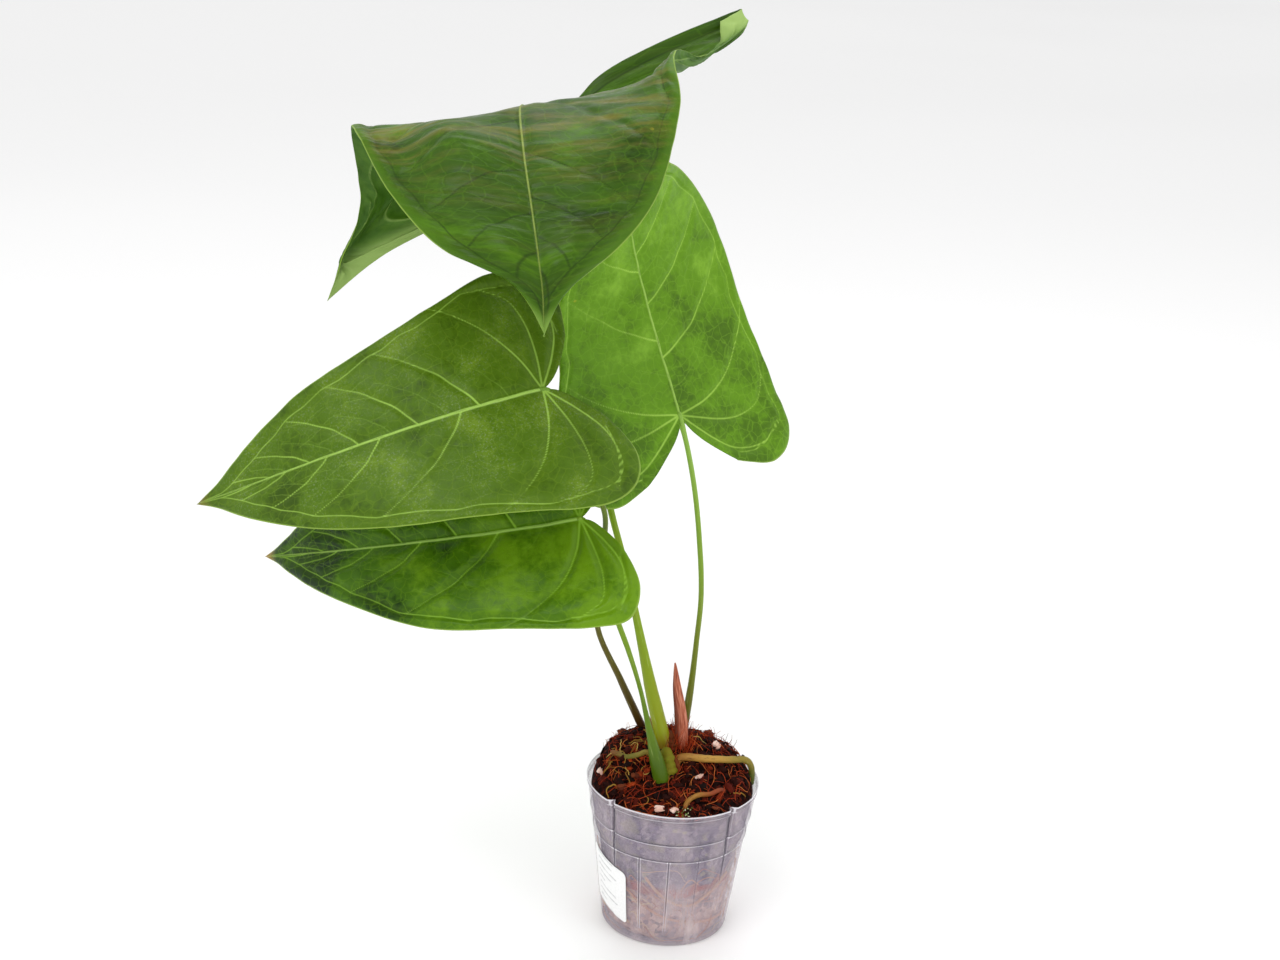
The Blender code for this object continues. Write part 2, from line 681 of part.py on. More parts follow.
# ---------------------------------------------------------------- stalks and roots
# where each stalk stands in the mix, and its route in mm from the middle of the pot's rim; the
# last place of a stalk is its blade's base
STALKS = {
    "petiole_top": dict(
        stands=(-7, 1), route=((-18, 2, 61), (-29, 8, 102), (-42, 18, 149), (-55, 30, 187), (-66, 43, 229),
               (-75, 50, 258), (-89, 60, 318), (-101, 69, 372), (-116, 75, 413)),
        foot=5.2, near_foot=3.0, middle=2.6, head=2.1),
    "petiole_left": dict(
        stands=(-23, 25), route=((-41, 18, 64), (-59, 8, 107), (-61, -5, 145), (-58, -18, 178), (-58, -30, 206),
               (-70, -38, 234), (-88, -40, 264), (-102, -34, 290)),
        foot=2.9, near_foot=2.2, middle=1.9, head=1.8),
    "petiole_low": dict(
        stands=(-9, -21), route=((-19, -24, 47), (-27, -26, 78), (-37, -28, 108), (-47, -31, 134), (-59, -33, 167),
               (-68, -35, 192), (-74, -35, 203)),
        foot=3.2, near_foot=2.3, middle=1.9, head=1.8),
    "petiole_right": dict(
        stands=(6, 25), route=((9, 27, 56), (11, 30, 94), (12, 33, 123), (8, 39, 166), (1, 47, 207), (-5, 54, 230),
               (-11, 58, 250)),
        foot=3.0, near_foot=2.2, middle=1.9, head=1.8),
}
HEAD_CLEARANCE = 0.35         # part of its radius that a stalk's end keeps off a folded blade

# routes in mm from the pot's axis and over the mix; a root is sunk in the mix where this is negative
AERIAL_ROOTS = {
    "aerial_root_right": dict(
        route=((1, -7, -6), (5, -8, 1.5), (11, -8.5, 3.4), (18, -8, 3.6), (32, -4.6, 3.8), (43, 0, 4.2),
               (50.5, 1.5, 8.5), (54.8, 2.5, 9), (56, 2.5, 5.5), (56, 2.5, 1.2), (55.6, 2.5, -3)),
        radius=2.9, tip=2.3),
    "aerial_root_left": dict(
        route=((-44, 0, 0.8), (-40, -4.4, 2.2), (-33, -8.5, 2.5), (-26, -8, 2.6), (-19.5, -6, 2), (-15, -6, -5)),
        radius=1.9, tip=2.0),
    "aerial_root_front": dict(
        route=((8, -46, -4), (9.5, -41, 1.6), (16, -34.6, 2.4), (25.7, -31.4, 2.4), (32.7, -26.5, 2.0),
               (38, -21.8, -3)),
        radius=1.8, tip=1.7),
}

SHEATHS = {
    "cataphyll_sheath": dict(stands=(4.5, 2), route=((4, 1, 36), (2, 0, 52), (-1, -1, 68), (-4, -2, 89)),
                             widths=(4.8, 4.6, 3.8, 2.6, 0.5), facing=-80, bend=70),
    "cataphyll_stub": dict(stands=(-17, 10), route=((-17.5, 10, 30), (-18.5, 9, 36), (-20, 8, 43)),
                           widths=(3.0, 2.8, 2.0, 0.5), facing=-110, bend=60),
}
SHEATH_THICKNESS = 0.7 * MM


def stalk_route(name, stalk, count):
    """Route of a stalk from its socket in the mix to just under its blade."""
    places = [foot_on_mix(stalk["stands"], 0.0)] + [grown(p) for p in stalk["route"]]
    foot = places[0] + unit(places[0] - places[1]) * SOCKET_DEPTH
    base, pointing, upper = blade_base(name.replace("petiole", "leaf_blade"))
    slope = abs(np.dot(unit(places[-1] - places[-2]), upper))
    tilt = math.sqrt(1 - slope * slope) + HEAD_CLEARANCE
    head = base - upper * (BLADE_THICKNESS / 2 + 2 * FIT_GAP + stalk["head"] * MM * tilt)
    return smooth_route([foot] + places[:-1] + [head], count)


def stalk_radii(stalk, count):
    knots = (0, 0.07, 0.22, 0.6, 1.0)
    sizes = (stalk["foot"], stalk["foot"], stalk["near_foot"], stalk["middle"], stalk["head"])
    return rounded_curve(knots, sizes, np.linspace(0, 1, count)) * MM


def build_stalks(mats, group, cutters):
    tools = []
    for name, stalk in STALKS.items():
        count = 26
        route = stalk_route(name, stalk, count)
        radii = stalk_radii(stalk, count)
        tube(name, route, radii, mats[name], group, sides=2)
        near = np.linalg.norm(route - route[0], axis=1) < SOCKET_DEPTH * 3.2
        below = route[0] + (route[0] - route[1]) / np.linalg.norm(route[0] - route[1]) * FIT_GAP
        bore = np.vstack([[below], route[near]])
        wide = np.concatenate([[radii[0]], radii[near]]) + FIT_GAP * 1.25
        tool = tube(name + "_cutter", bore, wide, None, cutters, sides=2)
        make_cutter(tool)
        tools.append(tool)
    return tools


def build_roots(mat, group, cutters):
    """The roots that run over the mix, each in its own groove."""
    tools = []
    for name, root in AERIAL_ROOTS.items():
        count = 18
        route = smooth_route([on_mix(p) for p in root["route"]], count)
        radii = np.linspace(root["radius"], root["tip"], count) * MM
        tube(name, route, radii, mat, group, sides=1)
        before = route[0] + unit(route[0] - route[1]) * FIT_GAP
        after = route[-1] + unit(route[-1] - route[-2]) * FIT_GAP
        groove = np.vstack([[before], route, [after]])
        wide = np.concatenate([[radii[0]], radii, [radii[-1]]]) + FIT_GAP * 1.3
        tool = tube(name + "_cutter", groove, wide, None, cutters, sides=1)
        make_cutter(tool)
        tools.append(tool)
    return tools


def build_sheath(name, sheath, mat, group, cutters):
    """A pointed, channelled sheath: a half-open strip that narrows to its tip."""
    rows = 11
    columns = 7
    places = [foot_on_mix(sheath["stands"], SHEATH_DEPTH)] + [grown(p) for p in sheath["route"]]
    route = smooth_route(places, rows)
    widths = rounded_curve(np.linspace(0, 1, len(sheath["widths"])), sheath["widths"], np.linspace(0, 1, rows))
    facing = math.radians(sheath["facing"])
    forward = np.array([math.cos(facing), math.sin(facing), 0.0])
    points = []
    faces = []
    for i in range(rows):
        ahead = route[min(i + 1, rows - 1)] - route[max(i - 1, 0)]
        ahead = ahead / np.linalg.norm(ahead)
        out = forward - ahead * np.dot(forward, ahead)
        out = out / np.linalg.norm(out)
        sideways = np.cross(ahead, out)
        radius = widths[i] * MM
        for j in range(columns):
            angle = math.radians(sheath["bend"]) * (2 * j / (columns - 1) - 1)
            points.append(tuple(route[i] + radius * (math.sin(angle) * sideways + (math.cos(angle) - 0.6) * out)))
    for i in range(rows - 1):
        for j in range(columns - 1):
            a = i * columns + j
            faces.append((a, a + 1, a + columns + 1, a + columns))
    mesh = mesh_from(name, points, faces)
    thing = add_object(name, mesh, mat, group)
    skin = thing.modifiers.new("thickness", "SOLIDIFY")
    skin.thickness = SHEATH_THICKNESS
    skin.offset = 0.0
    near = np.linalg.norm(route - route[0], axis=1) < SHEATH_DEPTH * 3.2
    bore = np.vstack([[route[0] + unit(route[0] - route[1]) * FIT_GAP * 2], route[near]])
    tool = tube(name + "_cutter", bore, [(widths[0] + 1.2) * MM] * len(bore), None, cutters, sides=2)
    make_cutter(tool)
    return tool


# roots that circle in the space between the mix and the wall: angles (deg), and heights as
# parts of that space's height
WALL_ROOTS = (
    ((225, 0.68), (247, 0.49), (268, 0.35), (290, 0.28), (318, 0.22), (345, 0.19)),
    ((328, 0.76), (310, 0.60), (292, 0.49), (276, 0.53), (262, 0.66), (252, 0.81)),
    ((236, 0.18), (222, 0.26), (205, 0.22), (186, 0.15), (160, 0.18)),
    ((60, 0.74), (72, 0.53), (88, 0.40), (108, 0.34), (130, 0.38)),
)
WALL_ROOT_RADIUS = ROOT_SPACE / 2 - ROOT_CLEARANCE


def build_wall_roots(mat, group):
    for number, route in enumerate(WALL_ROOTS, 1):
        coarse = np.array(route, float)
        knots = np.linspace(0, 1, len(route))
        fine = rounded_curve(knots, coarse, np.linspace(0, 1, 22))
        places = []
        for degrees, height in fine:
            angle = math.radians(degrees)
            height = height * (STEP_LOW - 4 * MM)
            radius = wall_radius(0.0, height) - POT_WALL - ROOT_SPACE / 2
            places.append((radius * math.cos(angle), radius * math.sin(angle), height))
        tube("wall_root_%d" % number, places, [WALL_ROOT_RADIUS] * len(places), mat, group, sides=1)


# ---------------------------------------------------------------- build
def main():
    clear_scene()
    parts = new_collection("potted_anthurium")
    cutters = new_collection("cutters", hidden=True)

    pot_plastic = make_material("nursery_pot_plastic", (0.42, 0.37, 0.46), 0.28, transmission=0.35)
    label_paper = make_material("label_paper", (0.86, 0.86, 0.85), 0.5)
    peat = make_material("bark_and_coir_mix", (0.045, 0.02, 0.015), 0.9)
    wood = make_material("wood_chip", (0.55, 0.33, 0.22), 0.8)
    root_skin = make_material("root_skin", (0.42, 0.28, 0.10), 0.6)
    pale_root = make_material("pot_root_skin", (0.45, 0.27, 0.13), 0.6)
    sheath_skin = make_material("dry_sheath", (0.40, 0.16, 0.09), 0.6)
    top_green = make_material("top_leaf_skin", (0.06, 0.10, 0.012), 0.38)
    left_green = make_material("left_leaf_skin", (0.07, 0.18, 0.015), 0.4)
    right_green = make_material("right_leaf_skin", (0.11, 0.26, 0.03), 0.4)
    low_green = make_material("low_leaf_skin", (0.04, 0.15, 0.008), 0.4)
    stalks = {
        "petiole_top": make_material("top_stalk_skin", (0.30, 0.43, 0.02), 0.35),
        "petiole_left": make_material("left_stalk_skin", (0.10, 0.08, 0.01), 0.4),
        "petiole_low": make_material("low_stalk_skin", (0.22, 0.34, 0.04), 0.35),
        "petiole_right": make_material("right_stalk_skin", (0.18, 0.25, 0.03), 0.35),
    }

    build_pot(pot_plastic, parts, cutters)
    build_label(label_paper, parts)
    mix = build_mix(peat, parts)
    tools = build_stalks(stalks, parts, cutters)
    tools += build_roots(root_skin, parts, cutters)
    for name, sheath in SHEATHS.items():
        tools.append(build_sheath(name, sheath, sheath_skin, parts, cutters))
    cut(mix, tools)
    build_chips(wood, parts)
    build_wall_roots(pale_root, parts)
    build_blade("leaf_blade_top", 28, 8, top_green, parts)
    build_blade("leaf_blade_left", 20, 7, left_green, parts)
    build_blade("leaf_blade_right", 20, 7, right_green, parts)
    build_blade("leaf_blade_low", 20, 7, low_green, parts)


main()
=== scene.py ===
"""Potted anthurium: the looks. Metres, +Z up, the pot stands on z = 0, the front is -Y."""
import math
import random

import bpy
import numpy as np
from mathutils import Matrix, Vector, noise


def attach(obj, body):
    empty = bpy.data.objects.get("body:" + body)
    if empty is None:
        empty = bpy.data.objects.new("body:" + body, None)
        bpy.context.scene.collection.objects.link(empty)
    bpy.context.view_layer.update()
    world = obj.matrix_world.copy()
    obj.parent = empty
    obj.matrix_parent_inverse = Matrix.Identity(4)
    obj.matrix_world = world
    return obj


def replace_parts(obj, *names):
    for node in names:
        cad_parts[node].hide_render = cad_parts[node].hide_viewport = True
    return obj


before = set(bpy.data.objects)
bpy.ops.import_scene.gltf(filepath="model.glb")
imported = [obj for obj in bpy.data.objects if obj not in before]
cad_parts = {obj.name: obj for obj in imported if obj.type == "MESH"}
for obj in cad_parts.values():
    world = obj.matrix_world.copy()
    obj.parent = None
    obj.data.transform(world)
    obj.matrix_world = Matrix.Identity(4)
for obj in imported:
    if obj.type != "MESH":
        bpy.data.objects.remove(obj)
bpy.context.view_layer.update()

MM = 0.001
TURN = 2 * math.pi
random.seed(11)

# ---------------------------------------------------------------- sizes, as in the part
POT_HEIGHT = 110 * MM
POT_RIM_RADIUS = 60 * MM
POT_BASE_RADIUS = 46 * MM
POT_WALL = 0.8 * MM
POT_FLOOR = 1.4 * MM
STEP_HIGH = POT_HEIGHT - 24 * MM
STEP_LOW = POT_HEIGHT - 38 * MM
STEP_DEPTH = 0.5 * MM
RIM_BAND = 4.2 * MM
RIM_PROUD = 0.8 * MM
PLEAT_DEPTH = 4.6 * MM
PLEAT_HALF_WIDTH = 4.0 * MM
PLEATS = 4
RIBS = 16
RIB_PROUD = 0.5 * MM
RIB_HALF_WIDTH = 1.1 * MM
RIB_FOOT = 12 * MM
DRAIN_HOLES = 8
DRAIN_HOLE_RADIUS = 3.2 * MM
DRAIN_RING_RADIUS = 31 * MM
ROOT_SPACE = 3.0 * MM
MIX_EDGE_DROP = 7 * MM
MIX_EDGE_GAP = 0.7 * MM
MOUND_HEIGHT = 34 * MM
MOUND_MIDDLE = (-6 * MM, 16 * MM)
MOUND_SPREAD = (75 * MM, 45 * MM)
LUMP_SIZE = 11 * MM
LUMP_HEIGHT = 1.6 * MM
SOCKET_DEPTH = 9 * MM
SHEATH_DEPTH = 5 * MM
BLADE_THICKNESS = 0.6 * MM

# ---------------------------------------------------------------- colour and nodes


def ink(code):
    """An sRGB hex colour as linear red, green, blue and alpha."""
    parts = [int(code[i:i + 2], 16) / 255 for i in (0, 2, 4)]
    linear = [p / 12.92 if p <= 0.04045 else ((p + 0.055) / 1.055) ** 2.4 for p in parts]
    return (*linear, 1.0)


def feed(tree, node, values):
    """Give a node's sockets (by name or number) and properties their values: a source socket is
    linked, a hex code becomes its colour, and stops are a ramp's (place, hex code) pairs."""
    for key, value in values.items():
        if isinstance(value, bpy.types.NodeSocket):
            tree.links.new(value, node.inputs[key])
        elif key == "stops":
            ramp = node.color_ramp
            ramp.interpolation = "EASE"
            while len(ramp.elements) < len(value):
                ramp.elements.new(0.5)
            for stop, (place, code) in zip(ramp.elements, value):
                stop.position = place
                stop.color = ink(code)
        elif isinstance(key, int) or key in node.inputs:
            node.inputs[key].default_value = ink(value) if isinstance(value, str) else value
        else:
            setattr(node, key, value)


def add(tree, kind, settings=None, links=None):
    """Add a node with its settings and links."""
    node = tree.nodes.new("ShaderNode" + kind)
    feed(tree, node, settings or {})
    feed(tree, node, links or {})
    return node


# a Mix node for colours: socket 0 is the share, 6 and 7 the two colours
TONES = {"data_type": "RGBA"}
# a Map Range node with soft ends: sockets 1 and 2 are the range read, 3 and 4 the values given
EASED = {"interpolation_type": "SMOOTHSTEP"}


def lay(tree, body, layers):
    """Lay tones over a colour. A layer is (source, low, high, share at low, share at high, tone),
    and may end with sockets that its share is multiplied by."""
    for source, low, high, at_low, at_high, tone, *limits in layers:
        share = add(tree, "MapRange", {**EASED, 1: low, 2: high, 3: at_low, 4: at_high}, {0: source})
        for limit in limits:
            share = add(tree, "Math", {"operation": "MULTIPLY"}, {0: share.outputs[0], 1: limit})
        body = add(tree, "Mix", TONES, {0: share.outputs[0], 6: body, 7: tone}).outputs[2]
    return body


def new_finish(name, **values):
    """A material with one Principled shader, and that shader's plain values."""
    mat = bpy.data.materials.new(name)
    mat.use_nodes = True
    shader = mat.node_tree.nodes["Principled BSDF"]
    for key, value in values.items():
        shader.inputs[key.replace("_", " ").title().replace("Ior", "IOR")].default_value = value
    return mat, mat.node_tree, shader


def per_mm(size):
    """Texture scale that makes one cell this many millimetres wide, for metre coordinates."""
    return 1000.0 / size


# ---------------------------------------------------------------- meshes


def mesh_piece(name, points, faces, mats, attributes=None, face_mats=None, plan=None):
    """A mesh object that rides on the root body, with point attributes and a UV plan in metres."""
    mesh = bpy.data.meshes.new(name)
    points = np.asarray(points, float)
    mesh.from_pydata([tuple(p) for p in points], [], [tuple(f) for f in faces])
    for mat in mats if isinstance(mats, (list, tuple)) else [mats]:
        mesh.materials.append(mat)
    for key, values in (attributes or {}).items():
        layer = mesh.attributes.new(key, "FLOAT", "POINT")
        layer.data.foreach_set("value", np.asarray(values, np.float32))
    if face_mats is not None:
        mesh.polygons.foreach_set("material_index", np.asarray(face_mats, np.int32))
    if plan is not None:
        layer = mesh.uv_layers.new(name="plan")
        corners = np.zeros(len(mesh.loops), np.int32)
        mesh.loops.foreach_get("vertex_index", corners)
        layer.data.foreach_set("uv", np.asarray(plan, np.float32)[corners].ravel())
    mesh.validate()
    mesh.shade_smooth()
    thing = bpy.data.objects.new(name, mesh)
    bpy.context.scene.collection.objects.link(thing)
    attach(thing, "root")
    return thing


def ring_faces(rings, turns):
    """Faces between rings of points that follow each other."""
    return [(a + j, a + (j + 1) % turns, a + turns + (j + 1) % turns, a + turns + j)
            for a in range(0, (rings - 1) * turns, turns) for j in range(turns)]


def fan_faces(first, turns, tip, order):
    """Faces from one ring to a middle point; order -1 turns them over."""
    return [(first + j, first + (j + 1) % turns, tip)[::order] for j in range(turns)]


def sheet_faces(rows, columns):
    """Faces of a thin sheet: a grid below, the same grid above it, and the rim between them."""
    count = rows * columns
    faces = []
    for layer in (0, 1):
        for i in range(rows - 1):
            for j in range(columns - 1):
                a = layer * count + i * columns + j
                face = (a, a + 1, a + columns + 1, a + columns)
                faces.append(face if layer else face[::-1])
    rim = list(range(columns)) + [i * columns + columns - 1 for i in range(1, rows)]
    rim += [(rows - 1) * columns + j for j in range(columns - 2, -1, -1)]
    rim += [i * columns for i in range(rows - 2, 0, -1)]
    for a, b in zip(rim, rim[1:] + rim[:1]):
        faces.append((a, b, b + count, a + count))
    return faces


def unit(vector):
    """The same direction, one long."""
    return vector / np.linalg.norm(vector)


def rounded_curve(knots, values, where):
    """A cubic curve through the values at the knots, read at the places in where."""
    knots = np.asarray(knots, float)
    values = np.asarray(values, float)
    where = np.asarray(where, float)
    slope = np.zeros_like(values)
    slope[0] = (values[1] - values[0]) / (knots[1] - knots[0])
    slope[-1] = (values[-1] - values[-2]) / (knots[-1] - knots[-2])
    for i in range(1, len(knots) - 1):
        before = knots[i] - knots[i - 1]
        after = knots[i + 1] - knots[i]
        rise_before = (values[i] - values[i - 1]) / before
        rise_after = (values[i + 1] - values[i]) / after
        slope[i] = (rise_before * after + rise_after * before) / (before + after)
    k = np.clip(np.searchsorted(knots, where, side="right") - 1, 0, len(knots) - 2)
    span = knots[k + 1] - knots[k]
    t = (where - knots[k]) / span
    shape = (len(where),) + (1,) * (values.ndim - 1)
    t = t.reshape(shape)
    span = span.reshape(shape)
    start = (2 * t ** 3 - 3 * t ** 2 + 1) * values[k]
    start_slope = (t ** 3 - 2 * t ** 2 + t) * span * slope[k]
    end = (3 * t ** 2 - 2 * t ** 3) * values[k + 1]
    end_slope = (t ** 3 - t ** 2) * span * slope[k + 1]
    return start + start_slope + end + end_slope


def grown(point):
    """A place on the plant, given in mm from the middle of the pot's rim."""
    x, y, z = point
    return np.array([x * MM, y * MM, POT_HEIGHT + z * MM])


def smooth_route(points, count):
    """Evenly spaced places along a smooth curve through the points."""
    points = np.asarray(points, float)
    steps = np.linalg.norm(np.diff(points, axis=0), axis=1)
    along = np.concatenate([[0], np.cumsum(steps)])
    return rounded_curve(along, points, np.linspace(0, along[-1], count))


def tube_shape(route, radii, sides=10, knobble=0.0, seed=0.0):
    """Points, faces and along/around values of a round closed tube that follows a route."""
    route = np.asarray(route, float)
    radii = np.asarray(radii, float)
    ahead = np.gradient(route, axis=0)
    ahead /= np.linalg.norm(ahead, axis=1, keepdims=True) + 1e-12
    side = unit(np.cross(ahead[0], (0.3, 0.9, 0.31)))
    length = np.concatenate([[0], np.cumsum(np.linalg.norm(np.diff(route, axis=0), axis=1))])
    points, along, around = [], [], []
    for i, place in enumerate(route):
        side = unit(side - ahead[i] * np.dot(side, ahead[i]))
        other = np.cross(ahead[i], side)
        for j in range(sides):
            angle = TURN * j / sides
            radius = radii[i]
            if knobble:
                spot = (math.cos(angle) * 0.7, math.sin(angle) * 0.7, length[i] * 220 + seed)
                radius *= 1 + knobble * noise.noise(Vector(spot))
            points.append(place + radius * (math.cos(angle) * side + math.sin(angle) * other))
            along.append(length[i])
            around.append(j / sides)
    faces = ring_faces(len(route), sides)
    last = len(route) - 1
    for ring, order in ((0, -1), (last, 1)):
        points.append(route[ring] + ahead[ring] * radii[ring] * 0.5 * order)
        along.append(length[ring])
        around.append(0.0)
        faces += fan_faces(ring * sides, sides, len(points) - 1, order)
    return np.array(points), faces, np.array(along), np.array(around)


class Heap:
    """Many small shapes gathered into one mesh, each with its own tint."""

    def __init__(self):
        self.points = []
        self.faces = []
        self.tints = []
        self.count = 0

    def put(self, points, faces, tint):
        points = np.asarray(points, float)
        self.points.append(points)
        self.faces += [tuple(i + self.count for i in face) for face in faces]
        self.tints.append(np.full(len(points), tint))
        self.count += len(points)

    def piece(self, name, mat, slot=None):
        return mesh_piece(name, np.vstack(self.points), self.faces, mat,
                          {"tint": np.concatenate(self.tints)})


# ---------------------------------------------------------------- leaf form, as in the part
# where along the midrib a half blade's widths are given: 0 is the stalk, 1 the tip, less is the lobe
STATIONS = (-0.28, -0.275, -0.17, 0.02, 0.22, 0.42, 0.62, 0.80, 0.92, 1.0)
# how rows crowd toward the stalk, and how far the lobe's end is rounded off
MIDRIB_EASE = 1.25
LOBE_ROUND = 0.045
# blades bent along their midribs. at is the place in mm from the middle of the rim; heading, rise and
# roll are degrees; bend, veer and twist are degrees per leaf length; widths are shares of the length;
# fold is each half's lift from level, in degrees at the stalk and at the tip; droop, spread and turn
# bend its lobe
BOWED = {
    "leaf_blade_left": dict(
        at=(-102, -34, 290), heading=211, rise=-8, roll=-48, length=258, lobe=0.53,
        bend=(53, 70, 29), veer=(-7, -23), twist=(-4, -4),
        right=dict(widths=(0.137, 0.245, 0.33, 0.347, 0.286, 0.227, 0.173, 0.091, 0.029, 0),
                   fold=(-4, 5), droop=0, spread=-2, turn=0),
        left=dict(widths=(0.139, 0.254, 0.336, 0.354, 0.295, 0.245, 0.176, 0.092, 0.029, 0),
                  fold=(10, 6), droop=5, spread=13, turn=-2)),
    "leaf_blade_low": dict(
        at=(-74, -35, 203), heading=192, rise=-11, roll=-59, length=247, lobe=0.43,
        bend=(16, 69, 39), veer=(-19, -5), twist=(-6, -3),
        right=dict(widths=(0.125, 0.226, 0.304, 0.323, 0.293, 0.238, 0.165, 0.088, 0.028, 0),
                   fold=(-5, 14), droop=0, spread=0, turn=1),
        left=dict(widths=(0.125, 0.226, 0.31, 0.317, 0.275, 0.24, 0.16, 0.085, 0.027, 0),
                  fold=(17, 9), droop=-3, spread=-7, turn=0)),
    "leaf_blade_right": dict(
        at=(-11, 58, 250), heading=135, rise=62, roll=-20, length=244, lobe=0.70,
        bend=(-14, -127, -4), veer=(22, 45), twist=(-3, -3),
        right=dict(widths=(0.167, 0.308, 0.396, 0.395, 0.347, 0.312, 0.218, 0.114, 0.036, 0),
                   fold=(-18, -7), droop=-10, spread=2, turn=-10),
        left=dict(widths=(0.167, 0.297, 0.396, 0.412, 0.336, 0.291, 0.208, 0.109, 0.035, 0),
                  fold=(8, 8), droop=13, spread=19, turn=1)),
}
# the arched top blade: a net of places in mm from the middle of the rim, along the midrib and across
# each half, at these shares of the way
ARCH_ALONG = (0, 0.12, 0.24, 0.36, 0.50, 0.66, 0.80, 0.90, 0.95, 1.0)
ARCH_ACROSS = (0, 0.35, 0.70, 1.0)
ARCH_MIDRIB = ((-116, 75, 413), (-118, 52, 435), (-120, 22, 456), (-125, -12, 466), (-119, -55, 446),
               (-111, -86, 419), (-104, -108, 392), (-100, -116, 371), (-99, -118, 360), (-98, -117, 346))
ARCH_RIGHT = (
    ((-157, 72, 385), (-217, 48, 353), (-252, 22, 325)),
    ((-163, 72, 394), (-238, 44, 356), (-244, 30, 350)),
    ((-168, 60, 414), (-207, 66, 400), (-233, 38, 387)),
    ((-169, 5, 450), (-206, 10, 444), (-234, 8, 440)),
    ((-164, -45, 453), (-198, -38, 441), (-225, -25, 445)),
    ((-147, -84, 419), (-176, -75, 416), (-200, -62, 417)),
    ((-124, -110, 396), (-143, -106, 390), (-160, -98, 389)),
    ((-106, -116, 373), (-112, -114, 372), (-119, -110, 374)),
    ((-101, -118, 361), (-104, -117, 361), (-107, -115, 362)),
    ((-98, -117, 346), (-98, -117, 346), (-98, -117, 346)),
)
ARCH_LEFT = (
    ((-80, 96, 474), (11, 128, 520), (-1, 114, 513)),
    ((-67, 84, 466), (14, 116, 507), (-1, 100, 498)),
    ((-77, 62, 466), (-20, 64, 488), (-14, 60, 496)),
    ((-83, 10, 470), (-48, 12, 484), (-31, 20, 503)),
    ((-76, -52, 454), (-46, -40, 466), (-25, -24, 475)),
    ((-76, -88, 421), (-53, -78, 424), (-36, -66, 425)),
    ((-88, -110, 397), (-74, -108, 395), (-59, -100, 396)),
    ((-95, -116, 373), (-89, -114, 373), (-83, -110, 375)),
    ((-96, -118, 362), (-93, -117, 362), (-91, -115, 364)),
    ((-98, -117, 346), (-98, -117, 346), (-98, -117, 346)),
)
ARCH_LENGTH = 275
ARCH_LOBE = 1.25
ARCH_WIDTHS = (0.13, 0.235, 0.32, 0.34, 0.305, 0.245, 0.168, 0.088, 0.028, 0)


def turned(vector, axis, angle):
    """A direction turned about an axis."""
    axis = axis / np.linalg.norm(axis)
    straight = vector * math.cos(angle)
    across = np.cross(axis, vector) * math.sin(angle)
    along = axis * np.dot(axis, vector) * (1 - math.cos(angle))
    return straight + across + along


def flat_half(widths, lobe, along, across):
    """Places of one flat half blade: rows leave the midrib and curve out to the margin."""
    stations = np.array([s * lobe if s < 0 else s for s in STATIONS])
    outline = np.stack([stations, np.array(widths)], axis=1)
    knots = np.linspace(0, 1, len(stations))
    edge = rounded_curve(knots, outline, along)[:, None, :]
    edge = edge.copy()
    edge[:, 0, 0] += lobe * LOBE_ROUND * np.clip(1 - along / 0.16, 0, 1) ** 2
    start = along ** MIDRIB_EASE
    near_lobe = 1 - along
    bow_along = start + 0.10 * along * near_lobe - 0.10 * near_lobe ** 4 * lobe
    bow_across = (0.5 - 0.42 * near_lobe ** 6) * edge[:, 0, 1]
    middle = np.stack([start, 0 * start], axis=1)[:, None, :]
    bow = np.stack([bow_along, bow_across], axis=1)[:, None, :]
    t = across[None, :, None]
    return (1 - t) ** 2 * middle + 2 * t * (1 - t) * bow + t ** 2 * edge


def frame_chain(place, pointing, upper, length, steps, reach, rates):
    """Frames carried along a bending line: share of length, place, direction, upper side."""
    chain = []
    step = reach / steps
    sign = 1 if reach > 0 else -1
    for i in range(steps + 1):
        chain.append((i * step, place, pointing, upper))
        bend, veer, twist = rates(abs(i * step))
        sideways = np.cross(pointing, upper)
        drop = math.radians(-bend * abs(step)) * sign
        ahead = turned(pointing, sideways, drop)
        above = turned(upper, sideways, drop)
        ahead = turned(ahead, above, math.radians(veer * abs(step)))
        above = turned(above, ahead, math.radians(twist * abs(step)))
        place = place + 0.5 * (pointing + ahead) * step * length
        pointing = ahead
        upper = above
    return chain


def read_chain(chain, along):
    """Place, direction and upper side read from a chain of frames."""
    marks = np.array([c[0] for c in chain])
    order = np.argsort(marks)
    found = []
    for k in (1, 2, 3):
        rows = np.array([c[k] for c in chain])[order]
        found.append(rounded_curve(marks[order], rows, along))
    return found


def blade_base(name):
    """Where a blade meets its stalk, the way its midrib sets off, and its upper side."""
    if name in BOWED:
        leaf = BOWED[name]
        heading = math.radians(leaf["heading"])
        rise = math.radians(leaf["rise"])
        level = math.cos(rise)
        pointing = np.array([level * math.cos(heading), level * math.sin(heading), math.sin(rise)])
        upper = unit(np.array([0, 0, 1.0]) - pointing * pointing[2])
        return grown(leaf["at"]), pointing, turned(upper, pointing, math.radians(leaf["roll"]))
    place = grown(ARCH_MIDRIB[0])
    pointing = unit(grown(ARCH_MIDRIB[1]) - place)
    right = np.cross(grown(ARCH_RIGHT[0][0]) - place, pointing)
    left = np.cross(pointing, grown(ARCH_LEFT[0][0]) - place)
    return place, pointing, unit(unit(right) + unit(left))


